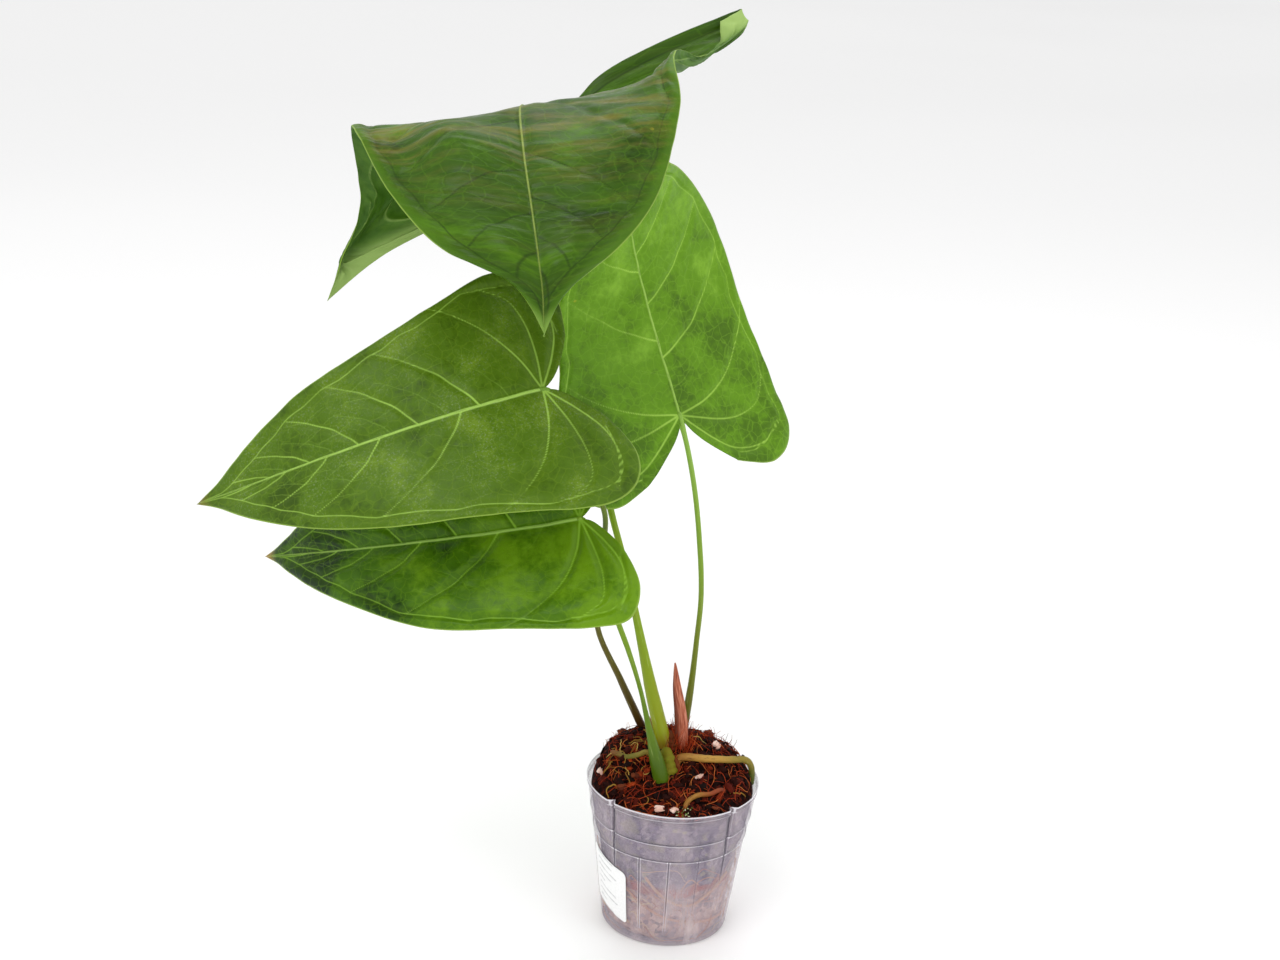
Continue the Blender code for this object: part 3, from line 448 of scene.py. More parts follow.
def bowed_half(name, side, flat):
    """Lay a flat half blade along the bending midrib, folded at the midrib."""
    leaf = BOWED[name]
    half = leaf[side]
    length = leaf["length"] * MM
    place, pointing, upper = blade_base(name)
    sign = 1 if side == "right" else -1

    def midrib_rates(a):
        b0, b1, b2 = leaf["bend"]
        bend = b0 * (1 - a) * (1 - 2 * a) + 4 * b1 * a * (1 - a) + b2 * a * (2 * a - 1)
        veer = leaf["veer"][0] * (1 - a) + leaf["veer"][1] * a
        twist = leaf["twist"][0] * (1 - a) + leaf["twist"][1] * a
        return bend, veer, twist

    def lobe_rates(a):
        return half["droop"], -sign * half["spread"], sign * half["turn"]

    midrib = frame_chain(place, pointing, upper, length, 24, 1.0, midrib_rates)
    lobe = frame_chain(place, pointing, upper, length, 10, -0.5, lobe_rates)
    a = flat[..., 0].ravel()
    b = flat[..., 1].ravel() * length
    ahead = read_chain(midrib, np.clip(a, 0, 1))
    behind = read_chain(lobe, np.clip(a, -0.5, 0))
    in_lobe = (a < 0)[:, None]
    spot, along, above = (np.where(in_lobe, x, y) for x, y in zip(behind, ahead))
    along = along / np.linalg.norm(along, axis=1, keepdims=True)
    above = above / np.linalg.norm(above, axis=1, keepdims=True)
    out = np.cross(along, above) * sign
    share = np.clip(a, 0, 1)
    fold = np.radians(half["fold"][0] * (1 - share) + half["fold"][1] * share)
    lifted = (b * np.sin(fold))[:, None] * above
    spread = (b * np.cos(fold))[:, None] * out
    return (spot + spread + lifted).reshape(flat.shape[:-1] + (3,))


def arched_half(side, along, across):
    """One half of the top blade, lofted through its ribs."""
    ribs = ARCH_RIGHT if side == "right" else ARCH_LEFT
    net = [[grown(m)] + [grown(p) for p in rib_points] for m, rib_points in zip(ARCH_MIDRIB, ribs)]
    rows = rounded_curve(ARCH_ALONG, np.array(net), along)
    columns = rounded_curve(ARCH_ACROSS, np.swapaxes(rows, 0, 1), across)
    return np.swapaxes(columns, 0, 1)


def half_blade(name, side, along, across):
    """The flat plan, in leaf lengths, and the surface in space, of half a blade."""
    if name in BOWED:
        leaf = BOWED[name]
        flat = flat_half(leaf[side]["widths"], leaf["lobe"], along, across)
        return flat, bowed_half(name, side, flat)
    return flat_half(ARCH_WIDTHS, ARCH_LOBE, along, across), arched_half(side, along, across)


# ---------------------------------------------------------------- veins
# side veins of a half blade: where each leaves the midrib and where it meets the collective vein,
# as shares of the leaf's length
SIDE_VEINS = {
    "right": ((0.17, 0.38), (0.33, 0.53), (0.485, 0.66), (0.62, 0.77), (0.74, 0.86)),
    "left": ((0.22, 0.47), (0.43, 0.63), (0.57, 0.74), (0.69, 0.83), (0.80, 0.90)),
}
# veins from the stalk into the lobes: places as shares of (lobe depth behind or length ahead, width)
BASAL_VEINS = (
    ((0, 0), (0.03, 0.30), (0.09, 0.58), (0.19, 0.80), (0.30, 0.90)),
    ((0, 0), (-0.16, 0.30), (-0.20, 0.56), (-0.05, 0.78), (0.06, 0.90)),
    ((0, 0), (-0.42, 0.24), (-0.66, 0.46), (-0.66, 0.72), (-0.40, 0.90)),
)
COLLECTIVE_INSET = 0.036


def collective_line(widths, lobe, meets):
    """The vein that runs inside the margin, scalloped between the side veins that meet it."""
    rows = np.linspace(0.05, 0.985, 110)
    edge = flat_half(widths, lobe, rows, np.array([0.0, 1.0]))
    run = np.linalg.norm(edge[:, 1] - edge[:, 0], axis=1)
    out = np.clip(1 - COLLECTIVE_INSET / np.maximum(run, 0.05), 0.25, 0.97)
    ahead = edge[:, 1, 0]
    nearest = np.min(np.abs(ahead[:, None] - np.array(meets)[None, :]), axis=1)
    out = out * (1.02 - 0.045 * np.clip(nearest / 0.06, 0, 1))
    grid = flat_half(widths, lobe, rows, out)
    index = np.arange(len(rows))
    return grid[index, index]


def vein_lines(widths, lobe, side, seed):
    """Main and minor veins of a half blade, as (line in the plan, half width in mm at both ends)."""
    shift = random.Random(seed)
    laterals = SIDE_VEINS[side]
    collective = collective_line(widths, lobe, [meet for _, meet in laterals] + [-0.1, 0.08, 0.28])
    main = [(collective, 0.26, 0.18)]
    minor = []
    t = np.linspace(0, 1, 26)
    half_width = max(widths)

    def meet_at(ahead):
        front = collective[collective[:, 0] > 0.05]
        return front[np.argmin(np.abs(front[:, 0] - ahead))]

    def bent(start, end, sag, wide, thin, heap):
        middle = start + (end - start) * np.array([0.34, 0.60])
        middle = middle + np.array([-sag, sag * 0.2])
        line = ((1 - t) ** 2)[:, None] * start + (2 * t * (1 - t))[:, None] * middle + (t ** 2)[:, None] * end
        wiggle = 0.0022 * np.sin(t * 17 + shift.uniform(0, 6)) * t * (1 - t) * 4
        line[:, 0] += wiggle
        heap.append((line, wide, thin))
        return line

    for number, route in enumerate(BASAL_VEINS):
        knots = [np.array([a * (lobe * 0.28 if a < 0 else 1.0), b * half_width]) for a, b in route]
        line = rounded_curve(np.linspace(0, 1, len(knots)), np.array(knots), t)
        main.append((line, 0.62, 0.24))
        for place in (9, 15, 20):
            start = line[place]
            away = np.array([0.055, 0.02]) if number == 0 else np.array([0.05, -0.012 + 0.02 * number])
            bent(start, start + away * shift.uniform(0.7, 1.3), 0.004, 0.16, 0.05, minor)
    lines = []
    for number, (leaves, meets) in enumerate(laterals):
        start = np.array([leaves, 0.0])
        lines.append(bent(start, meet_at(meets), 0.012, 0.60 - 0.07 * number, 0.24, main))
    starts = [0.0] + [leaves for leaves, _ in laterals]
    meets = [0.22] + [meet for _, meet in laterals]
    for number in range(len(starts) - 1):
        start = np.array([(starts[number] + starts[number + 1]) / 2 + shift.uniform(-0.01, 0.01), 0.0])
        end = meet_at((meets[number] + meets[number + 1]) / 2)
        bent(start, start + (end - start) * shift.uniform(0.55, 0.85), 0.01, 0.26, 0.08, minor)
    for line in lines[:3]:
        for place in (8, 14, 19):
            start = line[place]
            away = np.array([shift.uniform(0.05, 0.08), shift.uniform(-0.035, 0.01)])
            bent(start, start + away, 0.0, 0.18, 0.06, minor)
            back = np.array([shift.uniform(-0.06, -0.04), shift.uniform(0.0, 0.03)])
            bent(start, start + back, 0.0, 0.16, 0.05, minor)
    return main, minor


def distance_to(lines, flat, length):
    """Distance in mm from every place of the plan to the nearest line, less that line's half width."""
    spots = flat.reshape(-1, 2)
    nearest = np.full(len(spots), 99.0)
    for line, wide_start, wide_end in lines:
        count = len(line) - 1
        for i in range(count):
            a = line[i]
            step = line[i + 1] - a
            size = max(float(np.dot(step, step)), 1e-12)
            t = np.clip(((spots - a) @ step) / size, 0, 1)
            gap = np.linalg.norm(spots - a - t[:, None] * step, axis=1) * length
            wide = wide_start + (wide_end - wide_start) * (i + t) / count
            nearest = np.minimum(nearest, gap - wide)
    return nearest.reshape(flat.shape[:2])


# ---------------------------------------------------------------- leaf skins


def leaf_skin(name, deep, mid, light, vein, halo, rough, veined, rib_code="a8cf60", dust=0.0, painted_sheen=0.0,
              tip_code="a9c267", tip_share=0.7, spots=0.0, edge_share=0.0):
    """Leaf cuticle: a smooth wax film over green cells, so a soft sheen over mottled green, with
    paler veins and a yellow-green rim, painted shade along the blade and, on some blades, painted sheen."""
    mat, tree, shader = new_finish(name, roughness=rough, ior=1.45, specular_ior_level=0.2)
    plan = add(tree, "UVMap", {"uv_map": "plan"}).outputs[0]
    main, minor, rib, rim, shade, aged = (
        add(tree, "Attribute", {"attribute_name": key}).outputs["Fac"]
        for key in ("main_vein", "minor_vein", "midrib", "rim", "shade", "drip_tip"))
    broad = add(tree, "TexNoise", {"Scale": per_mm(38), "Detail": 3.0, "Roughness": 0.55},
                {"Vector": plan}).outputs[0]
    fine = add(tree, "TexNoise", {"Scale": per_mm(4), "Detail": 4.0, "Roughness": 0.6},
               {"Vector": plan}).outputs[0]
    mixed = add(tree, "Math", {"operation": "MULTIPLY_ADD", 1: 0.35}, {0: fine, 2: broad}).outputs[0]
    # the shade mark adds painted shade along the blade to the random tone
    shaded = add(tree, "Math", {"operation": "ADD"}, {0: mixed, 1: shade}).outputs[0]
    stops = ((0.42, deep), (0.66, mid), (0.95, light))
    body = add(tree, "ValToRGB", {"stops": stops}, {0: shaded}).outputs[0]
    # the net of the smallest veins
    warp = add(tree, "TexNoise", {"Scale": per_mm(9), "Detail": 2.0}, {"Vector": plan}).outputs[1]
    bent = add(tree, "MixRGB", {0: 0.004}, {1: plan, 2: warp}).outputs[0]
    net = add(tree, "TexVoronoi", {"feature": "DISTANCE_TO_EDGE", "Scale": per_mm(7.5), "Randomness": 0.9},
              {"Vector": bent}).outputs[0]
    net_line = add(tree, "MapRange", {**EASED, 1: 0.0, 2: 0.07, 3: 0.30, 4: 0.0}, {0: net}).outputs[0]
    body = add(tree, "Mix", TONES, {0: net_line, 6: body, 7: light}).outputs[2]
    # a paler band of tissue beside the big veins, then the veins themselves, fading in places
    uneven = add(tree, "TexNoise", {"Scale": per_mm(30)}, {"Vector": plan}).outputs[0]
    fade = add(tree, "MapRange", {**EASED, 1: 0.35, 2: 0.65, 3: 0.65, 4: 1.0}, {0: uneven}).outputs[0]
    body = lay(tree, body, [
        (main, 0.0, 6.0, halo, 0.0, light),
        (minor, -0.25, 0.45, 0.20, 0.0, vein),
        (main, -0.35, 0.45, veined, 0.0, vein, fade),
        (rib, -0.5, 0.5, 0.85, 0.0, rib_code)])
    if dust:
        specks = add(tree, "TexNoise", {"Scale": per_mm(1.6), "Detail": 5.0, "Roughness": 0.75},
                     {"Vector": plan}).outputs[0]
        patches = add(tree, "MapRange", {**EASED, 1: 0.42, 2: 0.66}, {0: broad}).outputs[0]
        body = lay(tree, body, [(specks, 0.50, 0.72, 0.0, dust, "a9b39b", patches)])
    # painted sheen: bronze streaks laid over the green in a band across the blade, standing in for reflected
    # light
    if painted_sheen:
        drawn = add(tree, "Mapping", {"Scale": (1.0, 0.22, 1.0)}, {0: plan}).outputs[0]
        streak = add(tree, "TexNoise", {"Scale": per_mm(9), "Detail": 5.0, "Roughness": 0.6},
                     {"Vector": drawn}).outputs[0]
        glaze = add(tree, "Attribute", {"attribute_name": "glaze"}).outputs["Fac"]
        body = lay(tree, body, [(streak, 0.42, 0.72, 0.0, painted_sheen, "8d7b38", glaze)])
    # a lighter edge, the rim line, the old drip tip and yellow spots near the margin
    spot = add(tree, "TexVoronoi", {"Scale": per_mm(26), "Randomness": 1.0}, {"Vector": plan}).outputs[0]
    near_rim = add(tree, "MapRange", {**EASED, 1: 6.0, 2: 22.0, 3: spots, 4: 0.0}, {0: rim}).outputs[0]
    body = lay(tree, body, [
        (rim, 2.0, 9.0, edge_share, 0.0, light),
        (rim, 0.35, 1.0, 0.8, 0.0, "8fae45"),
        (aged, 0.0, 1.0, 0.0, tip_share, tip_code),
        (spot, 0.03, 0.06, 1.0, 0.0, "d8c33a", near_rim)])
    gloss = add(tree, "MapRange", {**EASED, 1: 0.3, 2: 0.7, 3: rough - 0.06, 4: rough + 0.10}, {0: fine})
    grain = add(tree, "TexVoronoi", {"Scale": per_mm(1.3), "feature": "SMOOTH_F1"}, {"Vector": plan})
    height = add(tree, "Math", {"operation": "MULTIPLY_ADD", 1: 0.35}, {0: grain.outputs[0], 2: fine})
    height = add(tree, "Math", {"operation": "MULTIPLY_ADD", 1: -1.2}, {0: net_line, 2: height.outputs[0]})
    bump = add(tree, "Bump", {"Strength": 0.35, "Distance": 0.0004}, {"Height": height.outputs[0]})
    feed(tree, shader, {"Base Color": body, "Roughness": gloss.outputs[0], "Normal": bump.outputs[0]})
    return mat


def under_skin(name, body_code, light_code):
    """Underside of a leaf: no wax gloss, paler, with the veins standing out as light cords, and painted light
    toward the lobe ends.
    """
    mat, tree, shader = new_finish(name, roughness=0.55, ior=1.4)
    plan = add(tree, "UVMap", {"uv_map": "plan"}).outputs[0]
    main, rib, end = (add(tree, "Attribute", {"attribute_name": key}).outputs["Fac"]
                      for key in ("main_vein", "midrib", "lobe_end"))
    mottle = add(tree, "TexNoise", {"Scale": per_mm(14), "Detail": 5.0}, {"Vector": plan}).outputs[0]
    stops = ((0.35, body_code), (0.7, light_code))
    body = add(tree, "ValToRGB", {"stops": stops}, {0: mottle}).outputs[0]
    net = add(tree, "TexVoronoi", {"feature": "DISTANCE_TO_EDGE", "Scale": per_mm(6)},
              {"Vector": plan}).outputs[0]
    # the last layer is painted light: a paler tone toward the lobe ends, where the underside is lit from
    # below
    body = lay(tree, body, [
        (net, 0.0, 0.08, 0.35, 0.0, body_code),
        (main, -0.3, 0.8, 0.55, 0.0, "9dbb62"),
        (rib, -0.3, 0.8, 0.75, 0.0, "a9c068"),
        (end, 0.15, 0.8, 0.0, 0.85, "a2bf6a")])
    bump = add(tree, "Bump", {"Strength": 0.3, "Distance": 0.0004}, {"Height": mottle})
    feed(tree, shader, {"Base Color": body, "Normal": bump.outputs[0]})
    return mat


# the looks of each blade: quilt, wrinkle and wave are heights in mm, rib the midrib's half width in mm,
# and painted_shade_drop how much painted shade darkens the tip against the stalk end (below 0, the lobe
# instead)
LEAVES = {
    "leaf_blade_top": dict(
        slot="leaf_top_skin", quilt=0.7, wrinkle=0.75, wave=1.4, painted_shade_drop=0.05, rib=0.62,
        skin=dict(deep="1d3800", mid="325302", light="4c7606", vein="1a3000", halo=0.0, painted_sheen=0.45,
                  rough=0.34, veined=0.85, rib_code="93a650", tip_code="86a84a", spots=0.9, edge_share=0.6),
        # painted shade: the top blade's underside tones are darker than the others', as its undersides hang
        # in shadow
        under=("3a6406", "547e1c")),
    "leaf_blade_left": dict(
        slot="leaf_left_skin", quilt=0.9, wrinkle=0.16, wave=1.6, painted_shade_drop=0.06, rib=0.95,
        skin=dict(deep="344e07", mid="4c6c0c", light="68861c", vein="a6cf58", halo=0.16, dust=0.42,
                  rough=0.42, veined=0.80, tip_code="7a6a2a"),
        under=("557f2c", "678f38")),
    "leaf_blade_right": dict(
        slot="leaf_right_skin", quilt=1.0, wrinkle=0.12, wave=1.6, painted_shade_drop=-0.32, rib=0.75,
        skin=dict(deep="476c08", mid="619010", light="80b02e", vein="a9d455", halo=0.16, rough=0.42,
                  veined=0.80, spots=0.7),
        under=("557f2c", "678f38")),
    "leaf_blade_low": dict(
        slot="leaf_low_skin", quilt=1.9, wrinkle=0.22, wave=2.0, painted_shade_drop=0.55, rib=0.9,
        skin=dict(deep="113000", mid="426a04", light="67900e", vein="98c840", halo=0.18, rough=0.38,
                  veined=0.75, tip_code="9a7a2c", tip_share=0.9),
        under=("557f2c", "678f38")),
}


def ripple(plan, size, seed):
    """Smooth noise over the plan, wavelength in mm, as one value per place."""
    flat = plan.reshape(-1, plan.shape[-1])
    values = [noise.noise(Vector((p[0] / size, p[1] / size, seed))) for p in flat]
    return np.array(values).reshape(plan.shape[:2])


# points along and across the grid of each half blade
LEAF_ROWS = 236
LEAF_COLUMNS = 96
# what the skins read at each point: distances in mm from veins and rim, shares of other tones, and painted
# shade, sheen and light
LEAF_MARKS = ("main_vein", "minor_vein", "midrib", "rim", "shade", "glaze", "drip_tip", "lobe_end")


def upper_side(surface, side):
    """Which way the leaf's upper face looks at each point; the last rows shrink to the tip."""
    du = np.gradient(surface, axis=0)
    dv = np.gradient(surface, axis=1)
    up = np.cross(dv, du) if side == "right" else np.cross(du, dv)
    up = up / np.maximum(np.linalg.norm(up, axis=2, keepdims=True), 1e-12)
    up[-1] = up[-3]
    up[-2] = up[-3]
    up[0] = up[1]
    return up


def leaf_relief(facts, number, a, plan_mm, off_rib, gaps):
    """Height of the upper face over the smooth surface in mm: quilting between sunken veins, the
    midrib's ridge, crumples and waves, and a frilled, turned-down rim."""
    main, minor, rib_gap, rim_gap, rib_wide, seed = gaps
    near_main = np.exp(-(np.clip(main, 0, None) / 2.4) ** 2)
    near_minor = np.exp(-(np.clip(minor, 0, None) / 1.4) ** 2)
    near_rib = np.exp(-(np.clip(rib_gap, 0, None) / 5.0) ** 2)
    calm = np.clip(rim_gap / 6.0, 0, 1)
    rise = facts["quilt"] * (1 - near_main) * (1 - near_rib) * calm
    rise -= 0.30 * near_main * calm + 0.22 * near_minor * calm
    rise += 0.75 * np.exp(-(off_rib / rib_wide) ** 2) * (a > -0.01) - 0.35 * near_rib
    rise += 0.7 * facts["quilt"] * ripple(plan_mm, 16, number * 5.1) * calm
    rise += facts["wave"] * ripple(plan_mm, 42, number * 3.7) * np.clip(off_rib / 20, 0, 1)
    stretched = plan_mm * np.array([1, 0.24])
    crumple = ripple(stretched, 5.5, number * 2.9) + 0.5 * ripple(stretched, 2.8, number * 8.9)
    rise += facts["wrinkle"] * crumple * calm
    frill = np.clip(1 - rim_gap / 14.0, 0, 1) ** 2
    rise += 1.0 * frill * ripple(plan_mm, 13, seed)
    rise -= 0.8 * np.clip(1 - rim_gap / 3.0, 0, 1) ** 2
    return rise


def half_faces(first, flip):
    """Faces of one half blade, and which skin each wears: 0 above and on the rim, 1 below."""
    under = first + LEAF_ROWS * LEAF_COLUMNS
    order = 1 if flip else -1
    faces, skins = [], []
    for i in range(LEAF_ROWS - 1):
        for j in range(LEAF_COLUMNS - 1):
            a = first + i * LEAF_COLUMNS + j
            b = under + i * LEAF_COLUMNS + j
            faces.append((a, a + 1, a + LEAF_COLUMNS + 1, a + LEAF_COLUMNS)[::order])
            faces.append((b, b + LEAF_COLUMNS, b + LEAF_COLUMNS + 1, b + 1)[::order])
            skins += [0, 1]
        a = first + (i + 1) * LEAF_COLUMNS - 1
        b = under + (i + 1) * LEAF_COLUMNS - 1
        faces.append((a, b, b + LEAF_COLUMNS, a + LEAF_COLUMNS)[::order])
        skins.append(0)
    for j in range(LEAF_COLUMNS - 1):
        a = first + j
        b = under + j
        faces.append((a, b, b + 1, a + 1)[::order])
        skins.append(0)
    return faces, skins


def build_leaf(name, facts, number):
    """A leaf blade: two thick half blades that share their midrib, with sunken veins and quilting."""
    along = np.linspace(0, 1, LEAF_ROWS)
    across = np.linspace(0, 1, LEAF_COLUMNS)
    length = BOWED[name]["length"] if name in BOWED else ARCH_LENGTH
    halves = {}
    for side in ("right", "left"):
        widths = BOWED[name][side]["widths"] if name in BOWED else ARCH_WIDTHS
        lobe = BOWED[name]["lobe"] if name in BOWED else ARCH_LOBE
        flat, surface = half_blade(name, side, along, across)
        main, minor = vein_lines(widths, lobe, side, number * 2 + len(side))
        if name not in BOWED:
            minor = minor[:3]
        halves[side] = dict(flat=flat, surface=surface, up=upper_side(surface, side),
                            main=distance_to(main, flat, length), minor=distance_to(minor, flat, length))
    shared = halves["right"]["up"][:, 0] + halves["left"]["up"][:, 0]
    shared /= np.linalg.norm(shared, axis=1, keepdims=True)
    points, plan, faces, face_mats = [], [], [], []
    marks = {key: [] for key in LEAF_MARKS}
    for side in ("right", "left"):
        half = halves[side]
        flat = half["flat"]
        sign = 1 if side == "right" else -1
        plan_mm = flat * length * np.array([1, sign])
        a = flat[..., 0]
        off_rib = flat[..., 1] * length
        if name not in BOWED:
            places = half["surface"].reshape(-1, 1, 3)
            far = np.linalg.norm(places - half["surface"][None, :, 0], axis=2)
            off_rib = far.min(axis=1).reshape(a.shape) / MM
        rib_wide = facts["rib"] * (1 - np.clip(a, 0, 1)) ** 0.8 + 0.15
        rib_gap = np.where(a >= -0.002, off_rib, np.hypot(off_rib, a * length)) - rib_wide
        reach = np.linalg.norm(flat[:, -1] - flat[:, 0], axis=1)[:, None] * length
        rim_gap = np.minimum((1 - across)[None, :] * reach, (1 - along)[:, None] * length + 0.2)
        ease = np.clip(across / 0.08, 0, 1)[None, :, None]
        up = half["up"] * ease + shared[:, None, :] * (1 - ease)
        up /= np.linalg.norm(up, axis=2, keepdims=True)
        seed = number * 7.3 + (0 if side == "right" else 3.1)
        gaps = (half["main"], half["minor"], rib_gap, rim_gap, rib_wide, seed)
        rise = leaf_relief(facts, number, a, plan_mm, off_rib, gaps)
        # below, the midrib and the main veins stand out as cords
        thick = BLADE_THICKNESS * (0.55 + 0.45 * np.clip(rim_gap / 5.0, 0, 1))
        round_rib = np.sqrt(np.clip(1 - (off_rib / (rib_wide * 1.25)) ** 2, 0, 1))
        cord = 1.9 * round_rib * (1 - 0.75 * np.clip(a, 0, 1)) * (a > -0.01)
        calm = np.clip(rim_gap / 6.0, 0, 1)
        cord = cord + 0.55 * np.exp(-(np.clip(half["main"] + 0.3, 0, None) / 0.7) ** 2) * calm
        top = half["surface"] + up * (rise * MM)[..., None]
        bottom = top - up * (thick + cord * MM)[..., None]
        new_faces, new_skins = half_faces(len(points), side == "right")
        points += list(top.reshape(-1, 3)) + list(bottom.reshape(-1, 3))
        plan += list((plan_mm * MM).reshape(-1, 2)) * 2
        faces += new_faces
        face_mats += new_skins
        # painted shade: a tone slope from the stalk end to the tip, over random paler and darker patches
        paler = 0.10 * ripple(plan_mm, 60, number * 1.7)
        values = dict(
            main_vein=half["main"], minor_vein=half["minor"], midrib=rib_gap, rim=rim_gap,
            shade=paler + facts["painted_shade_drop"] * (0.40 - np.clip(a, -0.1, 1)),
            # where the painted sheen shows: a band round 0.42 of the way along
            glaze=np.exp(-((along[:, None] - 0.42) / 0.16) ** 2) * np.ones_like(a) + 0.12,
            drip_tip=np.clip((a - 0.93) / 0.06, 0, 1),
            # painted light on the underside toward the lobe ends
            lobe_end=np.exp(-(along[:, None] / 0.11) ** 2) * np.clip(across / 0.5, 0, 1)[None, :])
        for key in LEAF_MARKS:
            marks[key] += [values[key].ravel()] * 2
    attributes = {key: np.concatenate(values) for key, values in marks.items()}
    skin = leaf_skin(facts["slot"], **facts["skin"])
    under = under_skin(facts["slot"] + "_under", *facts["under"])
    blade = mesh_piece(name.replace("leaf_blade", "blade"), points, faces, [skin, under],
                       attributes, face_mats, plan)
    weld = blade.modifiers.new("weld", "WELD")
    weld.merge_threshold = 0.00004
    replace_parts(blade, name)


for leaf_number, (leaf_name, leaf_facts) in enumerate(LEAVES.items(), 1):
    build_leaf(leaf_name, leaf_facts, leaf_number)

# ---------------------------------------------------------------- the pot's wall


def pleat(angle, height):
    """How far the four folds in the rim pull the wall in."""
    deep = max(0.0, (height - STEP_LOW) / (POT_HEIGHT - STEP_LOW))
    radius = POT_BASE_RADIUS + (POT_RIM_RADIUS - POT_BASE_RADIUS) * height / POT_HEIGHT
    sector = TURN / PLEATS
    off = (angle - sector / 2) % sector
    off = min(off, sector - off) * radius
    reach = max(0.0, 1 - off / PLEAT_HALF_WIDTH)
    return PLEAT_DEPTH * deep ** 0.8 * (0.35 * reach + 0.65 * reach * reach)


def wall_radius(angle, height):
    """The wall's outer radius, with its steps and folds."""
    radius = POT_BASE_RADIUS + (POT_RIM_RADIUS - POT_BASE_RADIUS) * height / POT_HEIGHT
    for step in (STEP_HIGH, STEP_LOW):
        radius -= STEP_DEPTH * (1 - min(1.0, max(0.0, (height - step + 0.6 * MM) / (1.2 * MM))))
    return radius - pleat(angle, height)


def mound(x, y):
    """Height of the mix's smooth surface."""
    inner = POT_RIM_RADIUS - MIX_EDGE_GAP - POT_WALL
    dx = (x - MOUND_MIDDLE[0]) / MOUND_SPREAD[0]
    dy = (y - MOUND_MIDDLE[1]) / MOUND_SPREAD[1]
    out = min(1.0, math.hypot(x, y) / inner)
    return POT_HEIGHT - MIX_EDGE_DROP + MOUND_HEIGHT * math.exp(-(dx * dx + dy * dy)) * (1 - out ** 12)


def mix_top(x, y):
    """Height of the mix with its lumps."""
    out = min(1.0, math.hypot(x, y) / (POT_RIM_RADIUS - MIX_EDGE_GAP - POT_WALL))
    lump = noise.noise(Vector((x / LUMP_SIZE, y / LUMP_SIZE, 4.2)))
    return mound(x, y) + LUMP_HEIGHT * lump * (1 - out ** 4)


def plastic_film():
    """Thermoformed polypropylene film: milky lilac-grey and half see-through, whiter where it was
    folded or stretched over a rib, with painted highlights and painted shade at the ribs, steps, rim
    and pleats, and fine scuffs from handling."""
    mat, tree, shader = new_finish("thermoformed_polypropylene_film", roughness=0.30, ior=1.49)
    where = add(tree, "TexCoord").outputs["Object"]
    fold = add(tree, "Attribute", {"attribute_name": "fold"}).outputs["Fac"]
    tall = add(tree, "Mapping", {"Scale": (1.0, 1.0, 0.25)}, {0: where}).outputs[0]
    cloud = add(tree, "TexNoise", {"Scale": per_mm(16), "Detail": 5.0, "Roughness": 0.62},
                {"Vector": tall}).outputs[0]
    scuff = add(tree, "TexNoise", {"Scale": per_mm(1.8), "Detail": 6.0, "Roughness": 0.7},
                {"Vector": tall}).outputs[0]
    stops = ((0.30, "b3aabd"), (0.55, "cfc2cc"), (0.78, "eae0e4"))
    body = add(tree, "ValToRGB", {"stops": stops}, {0: cloud}).outputs[0]
    # the fold mark's white is part stress whitening and part painted highlight
    body = lay(tree, body, [(scuff, 0.55, 0.75, 0.0, 0.35, "efe9f0"), (fold, 0.15, 0.9, 0.0, 0.9, "f4f1f7")])
    # painted shade: dark lines where the fold mark is below 0, in the pleats and ribs and above the steps
    crease_and_painted_shade = add(tree, "MapRange", {**EASED, 1: -0.6, 2: -0.08, 3: 0.92, 4: 0.0}, {0: fold}).outputs[0]
    body = add(tree, "Mix", TONES, {0: crease_and_painted_shade, 6: body, 7: "352f40"}).outputs[2]
    # milkier where cloudy, stretched or creased
    stretched = add(tree, "MapRange", {**EASED, 1: 0.1, 2: 0.9, 3: 0.0, 4: 0.75}, {0: fold}).outputs[0]
    cover = add(tree, "Math", {"operation": "MULTIPLY_ADD", 1: 0.50, 2: 0.03}, {0: cloud}).outputs[0]
    for other in (stretched, crease_and_painted_shade):
        cover = add(tree, "Math", {"operation": "MAXIMUM"}, {0: cover, 1: other}).outputs[0]
    gloss = add(tree, "MapRange", {**EASED, 1: 0.35, 2: 0.75, 3: 0.22, 4: 0.42}, {0: scuff}).outputs[0]
    bump = add(tree, "Bump", {"Strength": 0.25, "Distance": 0.0005}, {"Height": cloud}).outputs[0]
    feed(tree, shader, {"Base Color": body, "Alpha": cover, "Roughness": gloss, "Normal": bump})
    return mat


def rib_height(angle, height):
    """The low rounded ribs pressed into the wall below the steps."""
    sector = TURN / RIBS
    off = (angle + sector / 2) % sector - sector / 2
    off = abs(off) * POT_BASE_RADIUS / RIB_HALF_WIDTH
    above_foot = (height - RIB_FOOT) / (2 * MM)
    below_step = (STEP_LOW - 2.2 * MM - height) / (2 * MM)
    ends = min(1.0, max(0.0, above_foot), max(0.0, below_step))
    return RIB_PROUD * math.exp(-(off * off) * 1.2) * max(0.0, ends)


def wall_dent(angle, height):
    """Soft dents left in the film by handling."""
    return 0.35 * MM * noise.noise(Vector((math.cos(angle) * 2.2, math.sin(angle) * 2.2, height * 28)))


